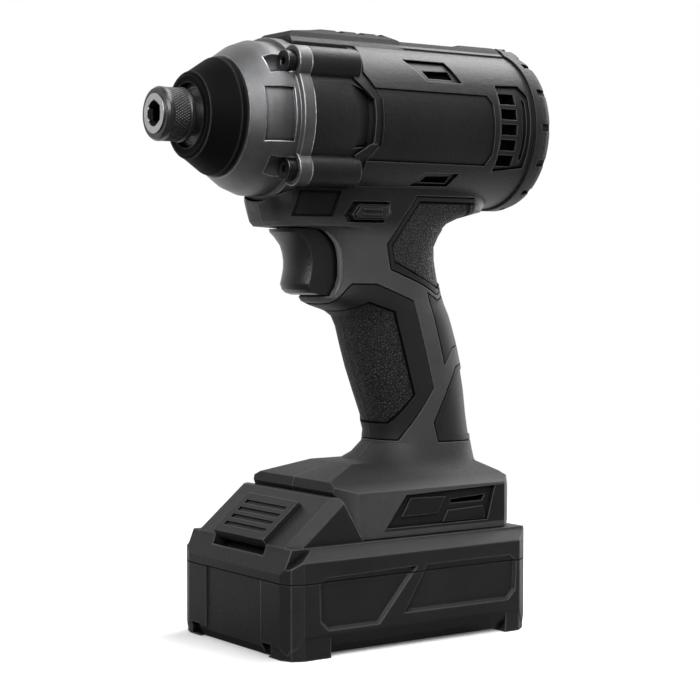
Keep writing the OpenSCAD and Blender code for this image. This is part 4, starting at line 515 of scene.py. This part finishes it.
def smooth_group(keen):
    """Geometry nodes that merge a solid's triangles and shade it smooth but for edges above an angle in degrees."""
    name = f"joined_{keen}"
    if name in bpy.data.node_groups:
        return bpy.data.node_groups[name]
    tree = bpy.data.node_groups.new(name, "GeometryNodeTree")
    for way in ("INPUT", "OUTPUT"):
        tree.interface.new_socket("Geometry", in_out=way, socket_type="NodeSocketGeometry")
    w = Wire(tree).node("NodeGroupInput")
    bare = w.node("GeometryNodeRemoveAttribute", {}, {"Geometry": w, "Name": "custom_normal"})
    merged = w.node("GeometryNodeMergeByDistance", {}, {"Geometry": bare, "Distance": 0.003 * MM})
    soft = w.node("GeometryNodeSetShadeSmooth", {"domain": "FACE"}, {"Geometry": merged, "Shade Smooth": True})
    angle = w.node("GeometryNodeInputMeshEdgeAngle")
    edges = w.node("GeometryNodeSetShadeSmooth", {"domain": "EDGE"}, {
        "Geometry": soft, "Shade Smooth": angle < math.radians(keen)})
    tree.links.new(edges.socket, tree.nodes.new("NodeGroupOutput").inputs[0])
    return tree


def dress(names, material, keen=24):
    """Gives CAD nodes their finish, and smooth shading between edges keener than an angle in degrees."""
    for name in names:
        obj = NODES[name]
        for row in obj.material_slots:
            row.material = material
        obj.modifiers.new("joined", "NODES").node_group = smooth_group(keen)


def grid_mesh(name, points, material, close_u=True, close_v=False, caps=False):
    """A quad mesh from a grid of points of shape (rows, columns, 3); rows follow v, columns follow u. Caps close the
    first and the last row with one face each."""
    rows, cols = points.shape[:2]
    r = np.arange(rows if close_v else rows - 1)[:, None]
    c = np.arange(cols if close_u else cols - 1)[None, :]
    r2, c2 = (r + 1) % rows, (c + 1) % cols
    quads = np.stack([r * cols + c, r * cols + c2, r2 * cols + c2, r2 * cols + c], axis=-1).reshape(-1, 4)
    ends = [np.arange(cols)[::-1].tolist(), np.arange((rows - 1) * cols, rows * cols).tolist()] if caps else []
    mesh = bpy.data.meshes.new(name)
    mesh.from_pydata(points.reshape(-1, 3), [], quads.tolist() + ends)
    mesh.polygons.foreach_set("use_smooth", np.ones(len(mesh.polygons), bool))
    mesh.materials.append(material)
    mesh.update()
    obj = bpy.data.objects.new(name, mesh)
    bpy.context.scene.collection.objects.link(obj)
    return obj


def stepped_line(points, count, fine_from, fine_to, fine_count):
    """A polyline along a chain of points that keeps its corners: even steps between them, and finer ones from one
    numbered corner to another."""
    arc = np.concatenate([[0], np.cumsum(np.linalg.norm(np.diff(points, axis=0), axis=1))])
    even, fine = np.linspace(0, arc[-1], count), np.linspace(arc[fine_from], arc[fine_to], fine_count)
    at = np.unique(np.round(np.concatenate([even, arc, fine]), 8))
    return np.stack([np.interp(at, arc, column) for column in points.T], axis=1)


def bead_points(path, out, radius, sides):
    """A round bead along a path: rings of a given radius, square to the path, that start at its outward direction."""
    ahead = np.gradient(path, axis=0)
    ahead /= np.linalg.norm(ahead, axis=1, keepdims=True)
    front = np.cross(ahead, out)
    turn = np.linspace(0, 2 * math.pi, sides, endpoint=False)[None, :, None]
    ring = np.cos(turn) * out[:, None, :] + np.sin(turn) * front[:, None, :]
    return path[:, None, :] + np.broadcast_to(radius, len(path))[:, None, None] * ring


def stand_for(obj, node):
    """Puts a new piece on its node's body and hides the node, whose place it takes."""
    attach(obj, BODY[node])
    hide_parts(node)


def rim_station(below, above):
    """Station of the trigger's rims along the drive axis: they come forward as a square below their bend and as a
    fourth power above it; both values go from 0 at the bend to 1 at an end."""
    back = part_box("trigger")[0].x + 12.4 * MM
    low_run, high_run = 3.4 * MM, 8.8 * MM
    return back + low_run * below ** 2 + high_run * above ** 4


def rim_span():
    """Lowest point and height of the trigger's rims."""
    low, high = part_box("trigger")
    return low.z - 0.6 * MM, high.z - low.z + 0.7 * MM


class DRIVER_OT_housing(Operator):
    """Shells and rear cover in satin plastic"""

    bl_idname = "driver.housing"
    bl_label = "Housing"

    def execute(self, context):
        c, s = context.scene.driver_colours, context.scene.driver_sizes
        shells = housing_plastic("housing_plastic", c.housing, s.edge_round, s.texture)
        dress(["left_housing", "right_housing"], shells)
        dress(["rear_cover"], plastic("cover_plastic", c.cover, s.edge_round, s.texture))
        return {"FINISHED"}


class DRIVER_OT_grips(Operator):
    """Grip pads and nose bumper in rubber"""

    bl_idname = "driver.grips"
    bl_label = "Grips"

    def execute(self, context):
        c, s = context.scene.driver_colours, context.scene.driver_sizes
        front = [field_corners("front_grip_left", shares) for shares in (FRONT_FIELD, FRONT_PEAK)]
        web = [field_corners("web_grip_left", WEB_FIELD)]
        dress(["front_grip_left", "front_grip_right"],
              grip_rubber("front_rubber", c.rubber, s.pad_rim, s.grain, front))
        dress(["web_grip_left", "web_grip_right"],
              grip_rubber("web_rubber", c.rubber, s.pad_rim, s.grain, web, border=2.6 * MM))
        dress(["heel_grip_left", "heel_grip_right", "tail_grip_left", "tail_grip_right"],
              grip_rubber("back_rubber", c.rubber, s.pad_rim, s.grain))
        dress(["nose_bumper"], bumper_rubber("bumper_rubber", shade(c.rubber, 0.25), s.battery_round))
        return {"FINISHED"}


class DRIVER_OT_hammer_case(Operator):
    """Cast hammer case, and all screws"""

    bl_idname = "driver.hammer_case"
    bl_label = "Hammer case"

    def execute(self, context):
        c, s = context.scene.driver_colours, context.scene.driver_sizes
        dress(["hammer_case"], casting("case_casting", c.casting, s.metal_round))
        screws = steel("screw_black", shade(c.dark_steel, 0.6), 0.4 * MM, 0.3, metallic=0.9, edge_light=5.0)
        dress(["hammer_case_screws", "housing_screws", "rear_cover_screws", "battery_screws"], screws)
        return {"FINISHED"}


class DRIVER_OT_chuck(Operator):
    """Knurled release sleeve, anvil and their small parts"""

    bl_idname = "driver.chuck"
    bl_label = "Chuck"

    def execute(self, context):
        c, s = context.scene.driver_colours, context.scene.driver_sizes
        black = steel("sleeve_black", shade(c.dark_steel, 0.85), 0.25 * MM, 0.34, metallic=0.85, edge_light=4.2,
                      streak=(40.0, 1.0, 1.0))
        sleeve = grid_mesh("knurled_sleeve", self.sleeve_points(s), black, close_v=True)
        stand_for(sleeve, "release_sleeve")
        dress(["sleeve_washer", "retaining_ring", "anvil_bush"], black)
        bright = steel("anvil_ground", shade(c.bright_steel, 1.1), 0.3 * MM, 0.36, edge_light=1.3,
                       streak=(60.0, 1.0, 1.0), shade_radius=4.9 * MM)
        dress(["anvil", "chuck_balls"], bright)
        return {"FINISHED"}

    @staticmethod
    def sleeve_points(s):
        """Turned sleeve: an outline of station and radius spun about the drive axis; in the knurl band the radius
        drops by the deeper of two triangle waves that climb round the sleeve in opposite ways."""
        low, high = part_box("release_sleeve")
        length, radius = high.x - low.x, (high.y - low.y) / 2
        inner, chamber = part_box("anvil_bush")[1].y - 3.0 * MM, radius - 1.0 * MM
        shoulder = length - 7.05 * MM
        knurl_from, knurl_to, knurl_drop = 3.1 * MM, 9.3 * MM, 0.1 * MM
        outline = np.array([
            (0.0, inner), (0.0, radius - 0.9 * MM), (0.35 * MM, radius - 0.35 * MM), (1.0 * MM, radius - 0.05 * MM),
            (2.2 * MM, radius), (2.5 * MM, radius - 0.35 * MM), (2.9 * MM, radius - 0.35 * MM),
            (knurl_from, radius - knurl_drop), (knurl_to, radius - knurl_drop),
            (9.5 * MM, radius - 0.35 * MM), (9.8 * MM, radius - 0.3 * MM), (10.1 * MM, radius - 0.05 * MM),
            (11.2 * MM, radius - 0.1 * MM), (length - 0.2 * MM, radius - 0.7 * MM), (length, radius - 0.9 * MM),
            (length, chamber), (length - 1.4 * MM, chamber), (shoulder, chamber), (shoulder, inner),
            (4.0 * MM, inner)])
        line = stepped_line(outline, 60, fine_from=7, fine_to=8, fine_count=76)
        turn = np.linspace(0, 2 * math.pi, 10 * s.knurl_count, endpoint=False)
        station, r = line[:, 0, None], line[:, 1, None]
        phase = turn * s.knurl_count / (2 * math.pi)
        climb = station * s.knurl_count / (2 * math.pi * radius)
        lean = 0.62
        tooth = [np.abs(2 * ((phase + k * climb) % 1) - 1) for k in (-lean, lean)]
        band = (station > knurl_from) & (station < knurl_to) & (r > radius - 3 * knurl_drop)
        r = r - np.where(band, s.knurl_depth * (1 - np.minimum(*tooth)), 0)
        return np.stack([low.x + station + 0 * turn, r * np.sin(turn), AXIS_Z + r * np.cos(turn)], axis=-1)


class DRIVER_OT_controls(Operator):
    """Trigger and direction selector"""

    bl_idname = "driver.controls"
    bl_label = "Controls"

    def execute(self, context):
        c, s = context.scene.driver_colours, context.scene.driver_sizes
        look = {"colour": c.cover, "edge": s.edge_round, "texture": s.texture, "rough": 0.34, "shine": 0.5}
        # The trigger gets a painted shadow at its back, where it goes into the housing.
        dress(["trigger"], plastic("trigger_plastic", gap=self.trigger_gap, **look), keen=20)
        dress(["selector"], plastic("control_plastic", **look), keen=20)
        return {"FINISHED"}

    @staticmethod
    def trigger_gap(place):
        """Painted shadow in the gap where the trigger goes into the housing: 1 up to the rims, 0 a little ahead of
        them.
        """
        start, height = rim_span()
        t = (place.along(UP) - start) * (1 / height)
        station = rim_station((RIM_BEND - t).clamped(0, RIM_BEND), (t - RIM_BEND).clamped(0, 1 - RIM_BEND))
        return 1 - (place.along(FORWARD) - station).clamped(1.2 * MM, 3.2 * MM)


class DRIVER_OT_trigger_rims(Operator):
    """Rounded rims of the housing beside the trigger"""

    bl_idname = "driver.trigger_rims"
    bl_label = "Trigger rims"

    def execute(self, context):
        c, s = context.scene.driver_colours, context.scene.driver_sizes
        # Housing plastic nine times lighter: the handle's paler tone with a painted highlight on top.
        pale = plastic("rim_plastic", shade(c.housing, 9.0), s.edge_round, s.texture, rough=0.4, edge_light=1.5)
        for name, side in (("trigger_rim_left", 1), ("trigger_rim_right", -1)):
            rim = grid_mesh(name, self.rim_points(side), pale, caps=True)
            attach(rim, BODY["left_housing"])
        return {"FINISHED"}

    @staticmethod
    def rim_points(side):
        """A round bead along a path that climbs beside the trigger at the rims' station, and thins to a point at both
        ends as a power of a half sine."""
        start, height = rim_span()
        thick, gap, top_end, taper = 1.3 * MM, 0.35 * MM, 0.97, 0.35
        t = np.linspace(0, top_end, 60)
        below = np.clip((RIM_BEND - t) / RIM_BEND, 0, 1)
        above = np.clip((t - RIM_BEND) / (1 - RIM_BEND), 0, 1)
        across = np.full_like(t, side * (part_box("trigger")[1].y + gap + thick))
        path = np.stack([rim_station(below, above), across, start + t * height], axis=-1)
        out = np.broadcast_to((0.0, float(side), 0.0), path.shape)
        radius = thick * np.sin(math.pi * np.linspace(0.001, 0.999, len(t))) ** taper
        return bead_points(path, out, radius, sides=20)


class DRIVER_OT_springs(Operator):
    """Coil springs that stand in the place of the spring nodes"""

    bl_idname = "driver.springs"
    bl_label = "Springs"

    def execute(self, context):
        c = context.scene.driver_colours
        wire = steel("spring_steel", shade(c.bright_steel, 0.8), 0.1 * MM, 0.32)
        for node, thick, turns, way in SPRINGS:
            low, high = (np.array(v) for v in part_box(node))
            coil = grid_mesh(node + "_coil", self.coil_points(low, high, thick, turns, way), wire, caps=True)
            stand_for(coil, node)
            joint = next(j for j in frame["joints"] if node in [d["node"] for d in j.get("deforming_nodes", ())])
            fixed = joint["deforming_nodes"][0]["fixed_end_%s_m" % "xyz"[way]]
            anchor = (low + high) / 2
            anchor[way] = fixed
            reach = max(abs(low[way] - fixed), abs(high[way] - fixed))
            travel = abs(joint["axis"][way]) * joint["range_m"][1]
            (reach - travel) / reach
            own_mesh(coil)
        return {"FINISHED"}

    @staticmethod
    def coil_points(low, high, thick, turns, way):
        """Round wire on a helix inside a node's box: it climbs along one axis while it goes round, and a sine draws
        the end turns a little closer."""
        t = np.linspace(0, 1, 40 * turns + 1)
        closer = 0.15
        climb = t - closer * np.sin(2 * math.pi * t) / (2 * math.pi)
        turn = 2 * math.pi * turns * t
        first, second = (way + 1) % 3, (way + 2) % 3
        radius = (high[first] - low[first]) / 2 - thick
        out = np.zeros((len(t), 3))
        out[:, first], out[:, second] = np.cos(turn), np.sin(turn)
        path = (low + high) / 2 + radius * out
        path[:, way] = low[way] + thick + climb * (high[way] - low[way] - 2 * thick)
        return bead_points(path, out, thick, sides=12)


class DRIVER_OT_battery(Operator):
    """Battery cases and release button in satin plastic"""

    bl_idname = "driver.battery"
    bl_label = "Battery"

    def execute(self, context):
        c, s = context.scene.driver_colours, context.scene.driver_sizes
        # Painted shade along the joint between the cases, and painted highlights on the edges.
        cases = plastic("battery_plastic", c.battery, s.battery_round, s.texture, edge_light=8.0, shine=0.3,
                        gap=self.case_seam)
        dress(["battery_lower_case", "battery_upper_case"], cases, keen=12)
        button = plastic("latch_plastic", c.cover, s.edge_round, s.texture, rough=0.55, edge_light=8.0, shine=0.28)
        dress(["latch_button"], button, keen=20)
        return {"FINISHED"}

    @staticmethod
    def case_seam(place):
        """Painted shade in the joint line that runs round the battery at the upper case's lower edge."""
        return (place.along(UP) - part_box("battery_upper_case")[0].z).near_zero(0.2 * MM, 0.5 * MM)


class DRIVER_OT_inside(Operator):
    """Motor, gears, mechanism, switch and cells"""

    bl_idname = "driver.inside"
    bl_label = "Inside"

    def execute(self, context):
        c, s = context.scene.driver_colours, context.scene.driver_sizes
        dress(["motor_shaft", "rear_bearing", "front_bearing", "pinion", "planet_gear_1", "planet_gear_2",
               "planet_gear_3", "planet_pins", "spindle", "spindle_bearing", "hammer", "cam_balls", "ring_gear",
               "cell_straps"], steel("gear_steel", c.bright_steel, 0.15 * MM, 0.32))
        dress(["stator_core", "rotor_core"], steel(
            "lamination_steel", shade(c.bright_steel, 0.6), 0.15 * MM, 0.45, edge_light=1.2, streak=(1.0, 0.02, 0.02)))
        dress(["stator_windings"], steel(
            "winding_copper", c.copper, 0.2 * MM, 0.35, edge_light=1.2, streak=(0.05, 1.0, 1.0)))
        dress(["tool_contacts", "battery_clips"], steel("contact_brass", c.brass, 0.1 * MM, 0.3))
        dress(["gearbox_plate"], casting("plate_casting", c.casting, s.edge_round))
        dress(["switch_body", "terminal_block", "cooling_fan", "cell_holders"],
              plastic("inner_plastic", c.cover, s.edge_round, s.texture, rough=0.55))
        dress(["control_board", "battery_board"],
              plastic("board_laminate", c.board, 0.1 * MM, s.texture, rough=0.4))
        dress(["battery_cells"], plastic("cell_wrap", c.wrap, 0.3 * MM, s.texture, rough=0.3))
        return {"FINISHED"}


class DRIVER_OT_stage(Operator):
    """Pale floor, soft studio light and the camera"""

    bl_idname = "driver.stage"
    bl_label = "Stage"

    def execute(self, context):
        scene, p = context.scene, context.scene.driver_stage
        scene.view_settings.view_transform = "Standard"
        self.make_floor(p)
        self.make_sky(scene, p)
        for name, (place, aim, size) in LAMPS.items():
            self.make_lamp(scene, name, getattr(p, name), place, aim, size)
        self.make_camera(scene, p)
        return {"FINISHED"}

    @staticmethod
    def rays(w):
        """Whether the eye, a reflection or a clear piece looks at it; all 0 for the light that it gives."""
        kinds = ("Is Camera Ray", "Is Glossy Ray", "Is Transmission Ray")
        return [w.node("ShaderNodeLightPath", out=kind) for kind in kinds]

    @staticmethod
    def studio(w, spot, p):
        """Brightness of the room as reflections show it: white behind the tool, dim on the camera's side."""
        way = w.node("ShaderNodeVectorMath", {"operation": "NORMALIZE"}, {0: spot})
        return p.dim + (1.0 - p.dim) * way.along(tuple(p.ahead)).clamped(ROOM_DIM, ROOM_WHITE)

    def make_floor(self, p):
        """A level square that takes the shadow near the object and is white to the eye further out."""
        mat = bpy.data.materials.new("pale_floor")
        mat.use_nodes = True
        tree = mat.node_tree
        tree.nodes.clear()
        w = Wire(tree)
        dull = w.node("ShaderNodeBsdfDiffuse", {}, {"Color": (*p.floor, 1)})
        spot = w.node("ShaderNodeTexCoord", out="Object")
        reach = w.node("ShaderNodeVectorMath", {"operation": "LENGTH"}, {0: spot}, out="Value")
        size = CAD_BOX[1] - CAD_BOX[0]
        beside = abs(spot.along((2 / size.x, 0, 0))).most(abs(spot.along((0, 2 / size.y, 0))))
        direct, mirrored, through = self.rays(w)
        level = direct + (mirrored + through) * self.studio(w, spot, p)
        white = w.node("ShaderNodeEmission", {}, {"Strength": level})
        # Painted shade: the glow that lifts the floor is held back in a box round the part, so the floor about its
        # foot stays dark beside the real shadow.
        lift = w.node("ShaderNodeEmission", {}, {"Strength": level * beside.clamped(LIFT_FROM, LIFT_TO) * LIFT})
        lifted = w.node("ShaderNodeAddShader", {}, {0: dull, 1: lift})
        far = (reach.clamped(FLOOR_NEAR, FLOOR_FAR) + mirrored + through).clamped(0, 1)
        shown = w.node("ShaderNodeMixShader", {}, {0: far, 1: lifted, 2: white})
        looked_at = (direct + mirrored + through).clamped(0, 1)
        mixed = w.node("ShaderNodeMixShader", {}, {0: looked_at, 1: dull, 2: shown})
        tree.links.new(mixed.socket, tree.nodes.new("ShaderNodeOutputMaterial").inputs["Surface"])
        spread = np.linspace(-FLOOR_HALF, FLOOR_HALF, 7)
        points = np.stack(np.broadcast_arrays(spread[None, :], spread[:, None], 0.0), axis=-1)
        floor = grid_mesh("floor", points, mat, close_u=False)

    def make_sky(self, scene, p):
        """Even light all round, white to the eye and as the studio in reflections."""
        world = bpy.data.worlds.new("even_light")
        world.use_nodes = True
        tree = world.node_tree
        back = tree.nodes["Background"]
        w = Wire(tree)
        direct, mirrored, through = self.rays(w)
        studio = self.studio(w, w.node("ShaderNodeTexCoord", out="Object"), p)
        shown = (direct + (mirrored + through) * studio).clamped(0, 1)
        strength = shown * (1.0 - p.sky) + p.sky
        back.inputs["Color"].default_value = (1, 1, 1, 1)
        tree.links.new(strength.socket, back.inputs["Strength"])
        scene.world = world

    @staticmethod
    def make_lamp(scene, name, power, place, aim, size):
        """A soft rectangle of light at a place, turned to a point."""
        lamp = bpy.data.lights.new(name, "AREA")
        lamp.shape, lamp.size, lamp.size_y, lamp.energy = "RECTANGLE", size[0], size[1], power
        obj = bpy.data.objects.new(name, lamp)
        scene.collection.objects.link(obj)
        obj.location = place
        obj.rotation_euler = (Vector(aim) - Vector(place)).to_track_quat("-Z", "Y").to_euler()

    @staticmethod
    def make_camera(scene, p):
        """The camera at the photograph's place, looking ahead and a little down."""
        lens = bpy.data.cameras.new("camera")
        lens.sensor_width, lens.lens = SENSOR_MM, p.lens
        camera = bpy.data.objects.new("camera", lens)
        scene.collection.objects.link(camera)
        ahead = Vector(p.ahead) * math.cos(p.pitch) - Vector((0, 0, math.sin(p.pitch)))
        camera.location = p.camera
        camera.rotation_euler = ahead.to_track_quat("-Z", "Y").to_euler()
        scene.camera = camera


class DRIVER_PT_looks(Panel):
    """Lists the pieces of the driver"""

    bl_idname = "DRIVER_PT_looks"
    bl_label = "Driver looks"
    bl_space_type = "VIEW_3D"
    bl_region_type = "UI"
    bl_category = "Driver"

    def draw(self, context):
        for piece in PIECES:
            self.layout.operator(piece.bl_idname)


GROUPS = {"driver_colours": DriverColours, "driver_sizes": DriverSizes, "driver_stage": DriverStage}
PIECES = (DRIVER_OT_housing, DRIVER_OT_grips, DRIVER_OT_hammer_case, DRIVER_OT_chuck, DRIVER_OT_controls,
          DRIVER_OT_trigger_rims, DRIVER_OT_springs, DRIVER_OT_battery, DRIVER_OT_inside, DRIVER_OT_stage)


def register():
    for cls in (*GROUPS.values(), *PIECES, DRIVER_PT_looks):
        bpy.utils.register_class(cls)
    for name, cls in GROUPS.items():
        setattr(bpy.types.Scene, name, PointerProperty(type=cls))


def unregister():
    for name in GROUPS:
        delattr(bpy.types.Scene, name)
    for cls in (DRIVER_PT_looks, *reversed(PIECES), *GROUPS.values()):
        bpy.utils.unregister_class(cls)


def main():
    register()
    for piece in PIECES:
        group, name = piece.bl_idname.split(".")
        getattr(getattr(bpy.ops, group), name)()


if __name__ == "__main__":
    main()
